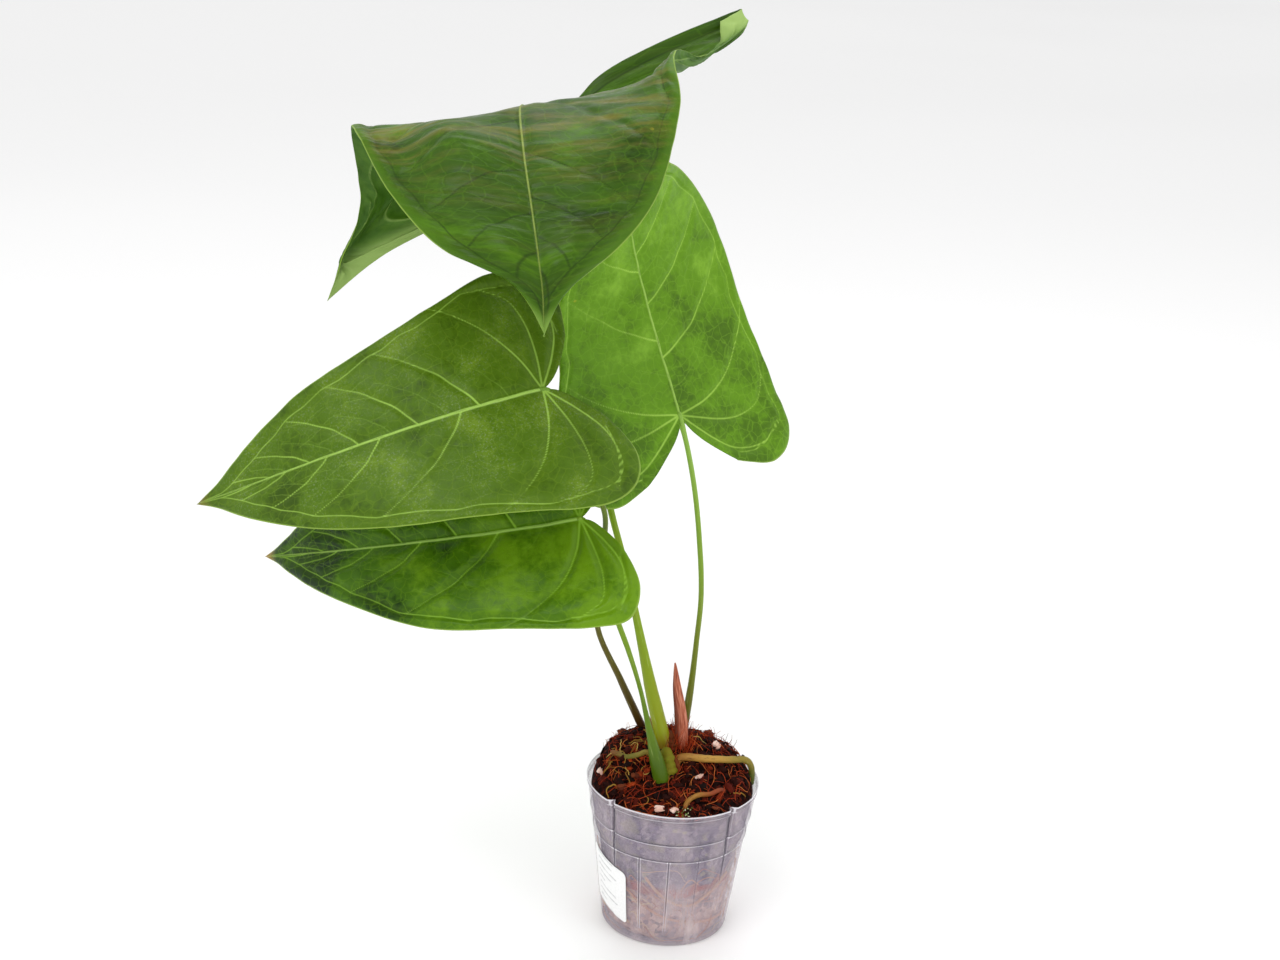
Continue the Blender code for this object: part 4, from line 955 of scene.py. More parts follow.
def whitening_and_painted_light(angle, height):
    """Where the film is white (above 0), part stress whitening and part painted highlight, or dark (below 0)
    as painted shade.
    """
    sector = TURN / RIBS
    number = round(angle / sector)
    off = abs(angle - number * sector) * POT_BASE_RADIUS
    strong = 0.25 + 0.60 * abs(math.sin(number * 2.7))
    mark = 0.0
    # white beside each rib, part stress whitening and part painted highlight, and painted shade down its
    # middle
    if RIB_FOOT < height < STEP_LOW:
        mark += strong * math.exp(-((off - 0.75 * MM) / (0.35 * MM)) ** 2)
        mark -= strong * math.exp(-(off / (0.40 * MM)) ** 2) * min(1.0, (height - RIB_FOOT) / (25 * MM))
    # a painted highlight just under each step's edge and painted shade just above it
    for step in (STEP_HIGH, STEP_LOW):
        mark += 0.9 * math.exp(-((height - step + 0.9 * MM) / (0.4 * MM)) ** 2)
        mark -= 0.9 * math.exp(-((height - step - 0.2 * MM) / (0.5 * MM)) ** 2)
    # white lines at the rim band's edge and along the rim's top, part whitening and part painted highlight,
    # and a whiter band above
    band = POT_HEIGHT - RIM_BAND
    mark += 0.9 * math.exp(-((height - band) / (0.5 * MM)) ** 2)
    mark += math.exp(-((POT_HEIGHT - height) / (0.7 * MM)) ** 2)
    mark += 0.30 * min(1.0, max(0.0, (height - band) / (1 * MM)))
    # painted shade down each pleat, with a painted highlight on either side
    sector = TURN / PLEATS
    off = abs(angle % sector - sector / 2) * POT_RIM_RADIUS
    fall = min(1.0, max(0.0, (height - STEP_LOW + 26 * MM) / (26 * MM)))
    mark -= 1.1 * fall * math.exp(-(off / (0.8 * MM)) ** 2)
    mark += 0.6 * fall * math.exp(-((off - 2.0 * MM) / (0.6 * MM)) ** 2)
    return mark


POT_TURNS = 768


def build_pot():
    """The soft pot: one film of plastic with a rolled rim, steps, ribs, folds and drain holes."""
    angles = [TURN * i / POT_TURNS for i in range(POT_TURNS)]
    heights = [0.0, 0.5 * MM, 1.2 * MM, 2.2 * MM] + [i * MM * 2.6 for i in range(1, 43)]
    heights += [STEP_HIGH + k * 0.4 * MM for k in range(-4, 4)]
    heights += [STEP_LOW + k * 0.4 * MM for k in range(-4, 4)]
    heights += [POT_HEIGHT - RIM_BAND + k * 0.4 * MM for k in range(-2, 3)]
    heights += [POT_HEIGHT - 1.2 * MM, POT_HEIGHT - 0.5 * MM, POT_HEIGHT]
    heights = [h for h in sorted(set(heights)) if h <= POT_HEIGHT]
    points, marks = [], []

    def ring(height, offset, mark_gain=1.0):
        proud = RIM_PROUD * min(1.0, max(0.0, (height - POT_HEIGHT + RIM_BAND + 0.4 * MM) / (0.8 * MM)))
        foot = 1.3 * MM * max(0.0, 1 - height / (1.6 * MM)) ** 2
        for angle in angles:
            ovality = 1 + 0.006 * math.cos(2 * angle + 0.7) * height / POT_HEIGHT
            radius = wall_radius(angle, height) + proud + rib_height(angle, height) - foot
            radius = radius * ovality + wall_dent(angle, height) + offset
            points.append((radius * math.cos(angle), radius * math.sin(angle), height))
            marks.append(whitening_and_painted_light(angle, height) * mark_gain)

    for height in heights:
        ring(height, 0.0)
    ring(POT_HEIGHT + 0.15 * MM, -0.4 * MM)
    for height in reversed([h for h in heights if h > POT_FLOOR + 0.4 * MM]):
        ring(height, -0.6 * MM, 0.6)
    faces = ring_faces(len(points) // POT_TURNS, POT_TURNS)
    shell = mesh_piece("pot_wall", points, faces, plastic_film(), {"fold": marks})
    build_floor(shell.data.materials[0])
    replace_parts(shell, "nursery_pot")


# rings of the pot's floor in mm from its middle, closest together across the drain holes
FLOOR_RINGS = (4, 12, 20, 24, 27.8, 28.6, 29.6, 31, 32.4, 33.4, 34.2, 38, 41, 43.4, 44.6)
FLOOR_TURNS = 192


def build_floor(film):
    """The pot's floor: a disc with a ring of round drain holes."""
    points, faces, marks = [], [], []
    keep = {}
    levels = (0.25 * MM, POT_FLOOR - 0.2 * MM)
    for side, level in enumerate(levels):
        for i, radius in enumerate(FLOOR_RINGS):
            for j in range(FLOOR_TURNS):
                angle = TURN * j / FLOOR_TURNS
                spot = np.array([radius * MM * math.cos(angle), radius * MM * math.sin(angle)])
                nearest = round((angle / TURN) * DRAIN_HOLES - 0.5) + 0.5
                middle = TURN * nearest / DRAIN_HOLES
                centre = DRAIN_RING_RADIUS * np.array([math.cos(middle), math.sin(middle)])
                gap = spot - centre
                away = np.linalg.norm(gap)
                inside = away < DRAIN_HOLE_RADIUS - 0.1 * MM
                # points near a hole's edge move onto it
                if DRAIN_HOLE_RADIUS - 1.2 * MM < away < DRAIN_HOLE_RADIUS + 0.9 * MM:
                    spot = centre + gap / away * DRAIN_HOLE_RADIUS
                    inside = False
                keep[(side, i, j)] = not inside
                points.append((spot[0], spot[1], level))
                marks.append(0.8 * math.exp(-((away - DRAIN_HOLE_RADIUS) / (0.6 * MM)) ** 2))
    count = len(FLOOR_RINGS) * FLOOR_TURNS
    for side, level in enumerate(levels):
        for i in range(len(FLOOR_RINGS) - 1):
            for j in range(FLOOR_TURNS):
                k = (j + 1) % FLOOR_TURNS
                corners = [(i, j), (i, k), (i + 1, k), (i + 1, j)]
                if all(keep[(side, a, b)] for a, b in corners):
                    face = [side * count + a * FLOOR_TURNS + b for a, b in corners]
                    faces.append(face[::-1] if side else face)
        points.append((0, 0, level))
        marks.append(0.0)
        faces += fan_faces(side * count, FLOOR_TURNS, len(points) - 1, 1 if side else -1)
    last = (len(FLOOR_RINGS) - 1) * FLOOR_TURNS
    for j in range(FLOOR_TURNS):
        k = (j + 1) % FLOOR_TURNS
        faces.append((last + j, last + k, count + last + k, count + last + j))
    mesh_piece("pot_floor", points, faces, film, {"fold": marks})


# the sticker: its side edges round the pot, its height, slant and thickness, and its grid
LABEL_START = math.radians(194)
LABEL_END = math.radians(236)
LABEL_WIDTH = 34 * MM
LABEL_HEIGHT = 42 * MM
LABEL_SLANT = 9 * MM
LABEL_THICKNESS = 0.2 * MM
LABEL_CORNER = 3.0 * MM
LABEL_LIFT = 0.27 * MM
LABEL_COLUMNS = 61
LABEL_ROWS = 45
BAR_PITCH = 5.0 * MM


def label_paper():
    """Coated paper: smooth and white with a slight sheen, blank but for plain grey bars."""
    mat, tree, shader = new_finish("coated_label_paper", roughness=0.45)
    plan = add(tree, "UVMap", {"uv_map": "plan"}).outputs[0]
    parts = add(tree, "SeparateXYZ", links={0: plan})
    rows = add(tree, "Math", {"operation": "MULTIPLY", 1: 1 / BAR_PITCH}, {0: parts.outputs[1]}).outputs[0]
    phase = add(tree, "Math", {"operation": "FRACT"}, {0: rows}).outputs[0]
    line = add(tree, "Math", {"operation": "LESS_THAN", 1: 0.26}, {0: phase}).outputs[0]
    row = add(tree, "Math", {"operation": "FLOOR"}, {0: rows}).outputs[0]
    ends = add(tree, "TexWhiteNoise", {"noise_dimensions": "1D"}, {"W": row}).outputs[0]
    reach = add(tree, "MapRange", {**EASED, 1: 0.0, 2: 1.0, 3: 0.014, 4: 0.027}, {0: ends}).outputs[0]
    short = add(tree, "Math", {"operation": "LESS_THAN"}, {0: parts.outputs[0], 1: reach}).outputs[0]
    start = add(tree, "Math", {"operation": "GREATER_THAN", 1: 0.007}, {0: parts.outputs[0]}).outputs[0]
    dot = add(tree, "TexNoise", {"Scale": per_mm(1.3), "Detail": 2.0}, {"Vector": plan}).outputs[0]
    broken = add(tree, "Math", {"operation": "GREATER_THAN", 1: 0.42}, {0: dot}).outputs[0]
    share = line
    for other in (short, start, broken, 0.42):
        share = add(tree, "Math", {"operation": "MULTIPLY"}, {0: share, 1: other}).outputs[0]
    paper = add(tree, "ValToRGB", {"stops": ((0.3, "f1f1f1"), (0.7, "fbfbfb"))}, {0: dot}).outputs[0]
    body = add(tree, "Mix", TONES, {0: share, 6: paper, 7: "77777c"}).outputs[2]
    bump = add(tree, "Bump", {"Strength": 0.1, "Distance": 0.0002}, {"Height": dot}).outputs[0]
    feed(tree, shader, {"Base Color": body, "Normal": bump})
    return mat


def build_label():
    """A white paper sticker on the ribbed wall, with rounded corners."""
    bottom = (RIB_FOOT + STEP_LOW - LABEL_HEIGHT) / 2 - 4 * MM
    points, plan = [], []
    for layer in (0, 1):
        for i in range(LABEL_ROWS):
            for j in range(LABEL_COLUMNS):
                u, v = j / (LABEL_COLUMNS - 1), i / (LABEL_ROWS - 1)
                from_side, from_end = min(u, 1 - u) * LABEL_WIDTH, min(v, 1 - v) * LABEL_HEIGHT
                pulled = 0.0
                if from_side < LABEL_CORNER and from_end < LABEL_CORNER:
                    half_chord = max(0.0, LABEL_CORNER ** 2 - (LABEL_CORNER - from_side) ** 2)
                    short_by = LABEL_CORNER - math.sqrt(half_chord)
                    pulled = max(0.0, short_by - from_end) * (1 if v < 0.5 else -1)
                angle = LABEL_START + (LABEL_END - LABEL_START) * u
                height = bottom + LABEL_HEIGHT * v + pulled - LABEL_SLANT * (u - 0.5)
                lift = LABEL_LIFT + 0.5 * rib_height(angle, height) + LABEL_THICKNESS * layer
                radius = wall_radius(angle, height) + 0.5 * RIB_PROUD + lift + wall_dent(angle, height)
                points.append((radius * math.cos(angle), radius * math.sin(angle), height))
                plan.append((u * LABEL_WIDTH, v * LABEL_HEIGHT))
    faces = sheet_faces(LABEL_ROWS, LABEL_COLUMNS)
    label = mesh_piece("label", points, faces, label_paper(), None, None, plan)
    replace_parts(label, "pot_label")


# ---------------------------------------------------------------- the mix


# heights where the lower mix gives way to the upper, and where the orange damp line runs
LOW_MIX_TOP = (0.050, 0.056)
DAMP_LINE = 0.0525


def mix_stuff():
    """Bark, peat and coir: matt dark brown crumbs with red-brown threads; behind the film a paler,
    damp band of moss lies over sandy lower mix."""
    mat, tree, shader = new_finish("bark_peat_and_coir", roughness=0.9, ior=1.35, specular_ior_level=0.15)
    where = add(tree, "TexCoord").outputs["Object"]
    crumbs = add(tree, "TexVoronoi", {"Scale": per_mm(3.2), "Randomness": 1.0}, {"Vector": where})
    grit = add(tree, "TexNoise", {"Scale": per_mm(1.5), "Detail": 6.0, "Roughness": 0.7},
               {"Vector": where}).outputs[0]
    damp = add(tree, "TexNoise", {"Scale": per_mm(13), "Detail": 4.0}, {"Vector": where}).outputs[0]
    top_tones, low_tones, high_tones = (
        add(tree, "ValToRGB", {"stops": stops}, {0: crumbs.outputs["Color"]}).outputs[0] for stops in (
            ((0.15, "120404"), (0.5, "2a0b06"), (0.8, "4c1608"), (0.97, "7c3012")),
            ((0.05, "5c403f"), (0.3, "c29a8c"), (0.65, "e6c2a8"), (0.95, "9a8284")),
            ((0.1, "453a52"), (0.5, "6a5c74"), (0.8, "91828e"), (0.95, "a39f78"))))
    top_tones = lay(tree, top_tones, [(grit, 0.40, 0.62, 0.7, 0.0, "150705")])
    low_tones = lay(tree, low_tones, [(damp, 0.50, 0.68, 0.0, 0.75, "57485a")])
    high_tones = lay(tree, high_tones, [(damp, 0.52, 0.66, 0.0, 0.7, "8b8560")])
    height = add(tree, "SeparateXYZ", links={0: where}).outputs[2]
    wavy = add(tree, "Math", {"operation": "MULTIPLY_ADD", 1: 0.016}, {0: damp, 2: height}).outputs[0]
    off_line = add(tree, "Math", {"operation": "SUBTRACT", 1: DAMP_LINE}, {0: wavy}).outputs[0]
    band = add(tree, "Math", {"operation": "ABSOLUTE"}, {0: off_line}).outputs[0]
    body = lay(tree, low_tones, [
        (wavy, *LOW_MIX_TOP, 0.0, 1.0, high_tones),
        (band, 0.0010, 0.0048, 0.95, 0.0, "b04e14"),
        (height, 0.098, 0.106, 0.0, 1.0, top_tones)])
    lumps = add(tree, "Math", {"operation": "MULTIPLY_ADD", 1: 0.6}, {0: grit, 2: crumbs.outputs["Distance"]})
    bump = add(tree, "Bump", {"Strength": 0.9, "Distance": 0.0015}, {"Height": lumps.outputs[0]})
    feed(tree, shader, {"Base Color": body, "Normal": bump.outputs[0]})
    return mat


MIX_TURNS = 260


def build_mix():
    """The root ball: a closed form with a crumbly, broken top."""
    angles = [TURN * i / MIX_TURNS for i in range(MIX_TURNS)]
    edge = POT_HEIGHT - MIX_EDGE_DROP
    # the side as (height, gap to the wall's inner face)
    side = [(POT_FLOOR + 0.4 * MM, ROOT_SPACE + 3 * MM), (POT_FLOOR + 5 * MM, ROOT_SPACE)]
    side += [(POT_FLOOR + 5 * MM + (STEP_LOW - 11 * MM) * k / 22, ROOT_SPACE) for k in range(1, 22)]
    side += [(STEP_LOW - 4 * MM, ROOT_SPACE), (STEP_LOW - 1 * MM, 1.0 * MM), (STEP_LOW + 2 * MM, 1.0 * MM)]
    side += [(STEP_LOW + 2 * MM + (edge - STEP_LOW - 2 * MM) * k / 10, 0.9 * MM) for k in range(1, 11)]
    points = []
    for height, gap in side:
        for angle in angles:
            spot = Vector((math.cos(angle) * 7, math.sin(angle) * 7, height * 170))
            rough = 0.8 * MM * max(0.0, noise.fractal(spot, 0.8, 2.0, 4)) if ROOT_SPACE <= gap else 0.0
            radius = wall_radius(angle, height) - POT_WALL - gap + rough
            points.append((radius * math.cos(angle), radius * math.sin(angle), height))
    # the top, from the edge in to the middle
    shares = list(np.linspace(0.985, 0.90, 8)) + list(np.linspace(0.88, 0.03, 44))
    for share in shares:
        for angle in angles:
            radius = (wall_radius(angle, edge) - POT_WALL - MIX_EDGE_GAP) * share
            x = radius * math.cos(angle)
            y = radius * math.sin(angle)
            crumb = noise.fractal(Vector((x * 260, y * 260, 1.5)), 0.9, 2.1, 4)
            ridge = noise.ridged_multi_fractal(Vector((x * 120, y * 120, 7.7)), 0.9, 2.0, 3, 0.9, 1.8)
            calm = min(1.0, (1 - share) / 0.1)
            points.append((x, y, mix_top(x, y) + (1.5 * crumb + 0.55 * ridge - 1.2) * MM * calm))
    rows = len(side) + len(shares)
    faces = ring_faces(rows, MIX_TURNS)
    for first, order in ((0, -1), ((rows - 1) * MIX_TURNS, 1)):
        ring = np.array(points[first:first + MIX_TURNS])
        points.append(tuple(ring.mean(axis=0)))
        faces += fan_faces(first, MIX_TURNS, len(points) - 1, order)
    ball = mesh_piece("root_ball", points, faces, mix_stuff())
    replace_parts(ball, "potting_mix")


def tinted(name, stops, roughness, grain=2.0):
    """A dull natural skin whose tone differs from bit to bit, through the tint of each."""
    mat, tree, shader = new_finish(name, roughness=roughness, ior=1.38, specular_ior_level=0.2)
    tint = add(tree, "Attribute", {"attribute_name": "tint"}).outputs["Fac"]
    where = add(tree, "TexCoord").outputs["Object"]
    mottle = add(tree, "TexNoise", {"Scale": per_mm(grain), "Detail": 5.0, "Roughness": 0.65},
                 {"Vector": where}).outputs[0]
    share = add(tree, "Math", {"operation": "MULTIPLY_ADD", 1: 0.30}, {0: mottle, 2: tint}).outputs[0]
    share = add(tree, "Math", {"operation": "SUBTRACT", 1: 0.15}, {0: share}).outputs[0]
    tones = add(tree, "ValToRGB", {"stops": stops}, {0: share})
    tones.color_ramp.interpolation = "LINEAR"
    bump = add(tree, "Bump", {"Strength": 0.5, "Distance": 0.0006}, {"Height": mottle})
    feed(tree, shader, {"Base Color": tones.outputs[0], "Normal": bump.outputs[0]})
    return mat


def chunk(place, size, spin, rough=0.28):
    """An irregular splinter: a block with its corners and edges pushed about."""
    grid = (-1.0, -0.33, 0.33, 1.0)
    index = {}
    points = []
    faces = []

    def corner(i, j, k):
        key = (i, j, k)
        if key not in index:
            p = np.array([grid[i], grid[j], grid[k]])
            p = p / (np.max(np.abs(p)) * 0.35 + np.linalg.norm(p) * 0.65)
            wobble = np.array([random.uniform(-rough, rough) for _ in range(3)])
            taper = 1 - 0.35 * p[0]
            p = (p + wobble) * np.array([1, taper, taper])
            index[key] = len(points)
            points.append(place + np.array(spin @ Vector(p * size)))
        return index[key]

    for axis in range(3):
        for end in (0, 3):
            for i in range(3):
                for j in range(3):
                    cells = [(i, j), (i + 1, j), (i + 1, j + 1), (i, j + 1)]
                    ids = []
                    for a, b in cells:
                        full = [a, b]
                        full.insert(axis, end)
                        ids.append(corner(*full))
                    outward = (end == 3) != (axis == 1)
                    faces.append(tuple(ids if outward else ids[::-1]))
    return points, faces


# how many loose bits lie on and round the mix
SPLINTERS = 760
COIR_OVER_MIX = 420
COIR_ROUND_STALKS = 300
COIR_AT_EDGE = 90
ROOTLETS = 34
MOSS_BITS = 26
FINE_ROOTS = 46


def spot_on_mix(reach=53.0):
    """A random place on the mix, this many mm or less from its middle."""
    while True:
        x = random.uniform(-reach, reach)
        y = random.uniform(-reach, reach)
        if math.hypot(x, y) < reach:
            return x * MM, y * MM


def surface_tilt(x, y):
    """The mix's upward normal."""
    step = 1.5 * MM
    dx = (mound(x + step, y) - mound(x - step, y)) / (2 * step)
    dy = (mound(x, y + step) - mound(x, y - step)) / (2 * step)
    return Vector((-dx, -dy, 1)).normalized()


def scatter_bark():
    """Broken bark, mostly flat splinters that lie in the crumbs, some on end."""
    heap = Heap()
    for _ in range(SPLINTERS):
        x, y = spot_on_mix()
        length = random.uniform(1.2, 4.6) * MM
        width = length * random.uniform(0.25, 0.6)
        thick = width * random.uniform(0.3, 0.7)
        stand = random.random() < 0.16
        lean = random.uniform(-1.1, 1.1) if stand else random.uniform(-0.35, 0.35)
        spin = surface_tilt(x, y).to_track_quat("Z", "X").to_matrix()
        spin = spin @ Matrix.Rotation(random.uniform(0, TURN), 3, "Z") @ Matrix.Rotation(lean, 3, "Y")
        place = np.array([x, y, mix_top(x, y) + random.uniform(-0.3, 0.9) * thick - 0.2 * MM])
        points, faces = chunk(place, np.array([length, width, thick]), spin)
        tone = random.random() ** 1.6 * (0.75 if math.hypot(x + 0.02, y + 0.01) > 0.02 else 1.0)
        heap.put(points, faces, tone)
    heap.piece("bark_splinters", tinted("milled_bark", [
        (0.0, "120402"), (0.35, "2a0904"), (0.65, "551305"), (0.9, "96360f"), (1.0, "b8582a")], 0.85),
        "bark_and_coir")


# place across the mix, length, width and height in mm, then turn and tilt in degrees
CHIPS = (
    (30, 11, 9, 6, 4.0, 70, 30), (18, -19, 8, 5, 3.5, 60, -25), (-51, -11, 9, 5, 3.0, 80, 25),
    (-9, -47, 8, 6, 4.0, 10, 10), (1, -47, 6, 5, 3.5, 130, -20), (-35, -29, 9, 5, 3.0, 40, 15),
    (29, -41, 8, 5, 3.5, 150, 18), (-27, -21, 8, 5, 4.0, 100, -12), (25, 36, 10, 6, 4.5, 50, 24),
    (-38, 28, 9, 6, 4.0, 120, -22),
)
# numbers of the freshly split chips
PALE_CHIPS = (1, 2, 3, 4, 5)


def build_chips():
    """Wood chips: split across the grain, pale pinkish where fresh, bark-brown where old."""
    fresh = tinted("split_softwood", [(0.0, "b98a78"), (0.5, "e0b6a6"), (1.0, "f3d9cd")], 0.7, 1.2)
    old = tinted("weathered_bark_chip", [(0.0, "2a0f09"), (0.5, "5a2412"), (1.0, "96522f")], 0.85, 1.5)
    for number, (x, y, length, width, tall, spin, tilt) in enumerate(CHIPS, 1):
        x *= MM
        y *= MM
        turn = Matrix.Rotation(math.radians(spin), 3, "Z") @ Matrix.Rotation(math.radians(tilt), 3, "X")
        heap = Heap()
        pale = number in PALE_CHIPS
        parts = 3 if pale else 2
        for part in range(parts):
            share = (part - (parts - 1) / 2) / parts
            middle = np.array([x, y, mix_top(x, y) + tall * MM * 0.42]) + np.array(
                turn @ Vector((share * 0.9 * MM, share * width * 0.9 * MM, 0.35 * MM * (part % 2))))
            long = length * 0.5 * (0.9 - 0.12 * (part % 2))
            size = np.array([long, width / parts * 0.62, tall * 0.26]) * MM
            points, faces = chunk(middle, size, turn, 0.16)
            heap.put(points, faces, 0.35 + 0.25 * part)
        chip = heap.piece("chip_%d" % number, fresh if pale else old, "wood_chip")
        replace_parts(chip, "bark_chip_%d" % number)


def fibre_route(x, y, length, heading, lift, curl, count=9):
    """A loose thread over the mix: it wanders, rising and dipping."""
    points = []
    for i in range(count):
        t = i / (count - 1)
        heading += random.uniform(-curl, curl)
        x += math.cos(heading) * length / count
        y += math.sin(heading) * length / count
        reach = math.hypot(x, y)
        if reach > 55 * MM:
            x *= 55 * MM / reach
            y *= 55 * MM / reach
        points.append((x, y, mix_top(x, y) + lift * math.sin(t * math.pi) + 0.1 * MM))
    return points


# loose threads long enough to stand out, as places across the mix in mm
LONG_THREADS = (((-32, -41), (-21, -38), (-8, -32), (7, -27)), ((-46, 4), (-40, -9), (-38, -22)))
THREAD_LIFT = 1.2 * MM


def scatter_fibres():
    """Coir threads and fine roots, over the mix and round the stalks."""
    coir = Heap()
    for _ in range(COIR_OVER_MIX):
        x, y = spot_on_mix()
        route = fibre_route(x, y, random.uniform(7, 26) * MM, random.uniform(0, TURN),
                            random.uniform(0.3, 2.8) * MM, 0.5)
        radius = random.uniform(0.10, 0.26) * MM
        points, faces, _, _ = tube_shape(smooth_route(route, 12), [radius] * 11 + [radius * 0.4], 4)
        coir.put(points, faces, random.random())
    for _ in range(COIR_ROUND_STALKS):
        angle = random.uniform(0, TURN)
        reach = random.uniform(1.5, 13) * MM
        x = 1 * MM + reach * math.cos(angle)
        y = 3 * MM + reach * math.sin(angle)
        base = np.array([x, y, mix_top(x, y) - 1 * MM])
        tall = random.uniform(5, 20) * MM * (1.3 - reach / (13 * MM) * 0.7)
        lean = np.array([random.uniform(-0.35, 0.35), random.uniform(-0.35, 0.35), 1.0])
        side = np.array([random.uniform(-2.5, 2.5), random.uniform(-2.5, 2.5), 0]) * MM
        route = [base, base + lean * tall * 0.5 + side * 0.5, base + lean * tall + side]
        radius = random.uniform(0.12, 0.34) * MM
        points, faces, _, _ = tube_shape(smooth_route(route, 8), np.linspace(radius, radius * 0.3, 8), 4)
        coir.put(points, faces, 0.25 + 0.6 * random.random())
    for _ in range(COIR_AT_EDGE):
        angle = random.uniform(math.radians(20), math.radians(200))
        reach = random.uniform(38, 55) * MM
        x, y = reach * math.cos(angle), reach * math.sin(angle)
        base = np.array([x, y, mix_top(x, y)])
        tip = base + np.array([random.uniform(-4, 4), random.uniform(-4, 4), random.uniform(2, 9)]) * MM
        middle = (base + tip) / 2 + np.array([random.uniform(-2, 2), 0, random.uniform(0, 2)]) * MM
        route = smooth_route([base, middle, tip], 7)
        points, faces, _, _ = tube_shape(route, np.linspace(0.2, 0.08, 7) * MM, 4)
        coir.put(points, faces, random.random())
    for route in LONG_THREADS:
        laid = [(x * MM, y * MM, mix_top(x * MM, y * MM) + THREAD_LIFT) for x, y in route]
        points, faces, _, _ = tube_shape(smooth_route(laid, 16), np.linspace(0.30, 0.18, 16) * MM, 5)
        coir.put(points, faces, 0.6)
    coir.piece("coir_threads", tinted("coir_fibre", [
        (0.0, "4a1208"), (0.4, "8a2a10"), (0.75, "b8431a"), (1.0, "cf7a3c")], 0.7), "bark_and_coir")

    pale = Heap()
    for number in range(ROOTLETS):
        left = number < 20
        x = random.uniform(-50, -22) if left else random.uniform(-30, 40)
        y = random.uniform(-30, 8) if left else random.uniform(-45, 20)
        if math.hypot(x, y) > 50:
            continue
        route = fibre_route(x * MM, y * MM, random.uniform(10, 20) * MM, random.uniform(0, TURN),
                            random.uniform(0.8, 3.5) * MM, 0.9)
        radius = random.uniform(0.28, 0.62) * MM
        points, faces, _, _ = tube_shape(smooth_route(route, 18), np.linspace(radius, radius * 0.6, 18), 6)
        pale.put(points, faces, random.random())
    pale.piece("pale_rootlets", tinted("live_rootlet_skin", [
        (0.0, "6f4a17"), (0.5, "a98335"), (1.0, "d0b264")], 0.55), "root_skin")

    bright = Heap()
    for _ in range(MOSS_BITS):
        x = random.uniform(2, 14) * MM
        y = random.uniform(-52, -44) * MM
        place = np.array([x, y, mix_top(x, y) + random.uniform(0.6, 2.2) * MM])
        spin = Matrix.Rotation(random.uniform(0, TURN), 3, "Z")
        spin = spin @ Matrix.Rotation(random.uniform(0, 1.5), 3, "X")
        size = np.array([random.uniform(0.4, 1.0), random.uniform(0.25, 0.5), random.uniform(0.15, 0.3)]) * MM
        points, faces = chunk(place, size, spin)
        bright.put(points, faces, random.random())
    bright.piece("moss_and_grit", tinted("moss_and_perlite", [
        (0.0, "3f6a2a"), (0.5, "7f9a44"), (0.8, "c2cc98"), (1.0, "eceddc")], 0.8), "bark_and_coir")


# ---------------------------------------------------------------- stalks
# where each stalk stands on the mix, its route in mm from the middle of the rim, its radii in mm
# and its tones from foot to head
STALKS = {
    "petiole_top": dict(
        stands=(-7, 1), route=((-18, 2, 61), (-29, 8, 102), (-42, 18, 149), (-55, 30, 187), (-66, 43, 229),
                               (-75, 50, 258), (-89, 60, 318), (-101, 69, 372), (-116, 75, 413)),
        foot=5.2, near_foot=3.0, middle=2.6, head=2.1, slot="stalk_top_skin",
        tones=("8f9a14", "84a01a", "7a9c1c", "6a962a"), foot_tone="8a6a1c"),
    "petiole_left": dict(
        stands=(-23, 25),
        route=((-41, 18, 64), (-59, 8, 107), (-61, -5, 145), (-58, -18, 178), (-58, -30, 206),
               (-70, -38, 234), (-88, -40, 264), (-102, -34, 290)),
        foot=2.9, near_foot=2.2, middle=1.9, head=1.8, slot="stalk_left_skin",
        tones=("4a330c", "5c5410", "5f6f18", "6f9430"), foot_tone="3a1c0a"),
    "petiole_low": dict(
        stands=(-9, -21),
        route=((-19, -24, 47), (-27, -26, 78), (-37, -28, 108), (-47, -31, 134), (-59, -33, 167),
               (-68, -35, 192), (-74, -35, 203)),
        foot=5.4, near_foot=2.5, middle=1.9, head=1.8, slot="stalk_low_skin",
        tones=("3f5a0a", "5a780c", "76981c", "84a830"), foot_tone="4f6a10"),
    "petiole_right": dict(
        stands=(6, 25),
        route=((9, 27, 56), (11, 30, 94), (12, 33, 123), (8, 39, 166), (1, 47, 207), (-5, 54, 230),
               (-11, 58, 250)),
        foot=3.0, near_foot=2.2, middle=1.9, head=1.8, slot="stalk_right_skin",
        tones=("5f5a10", "6f7a1a", "7fa032", "8cb448"), foot_tone="4a2a10"),
}


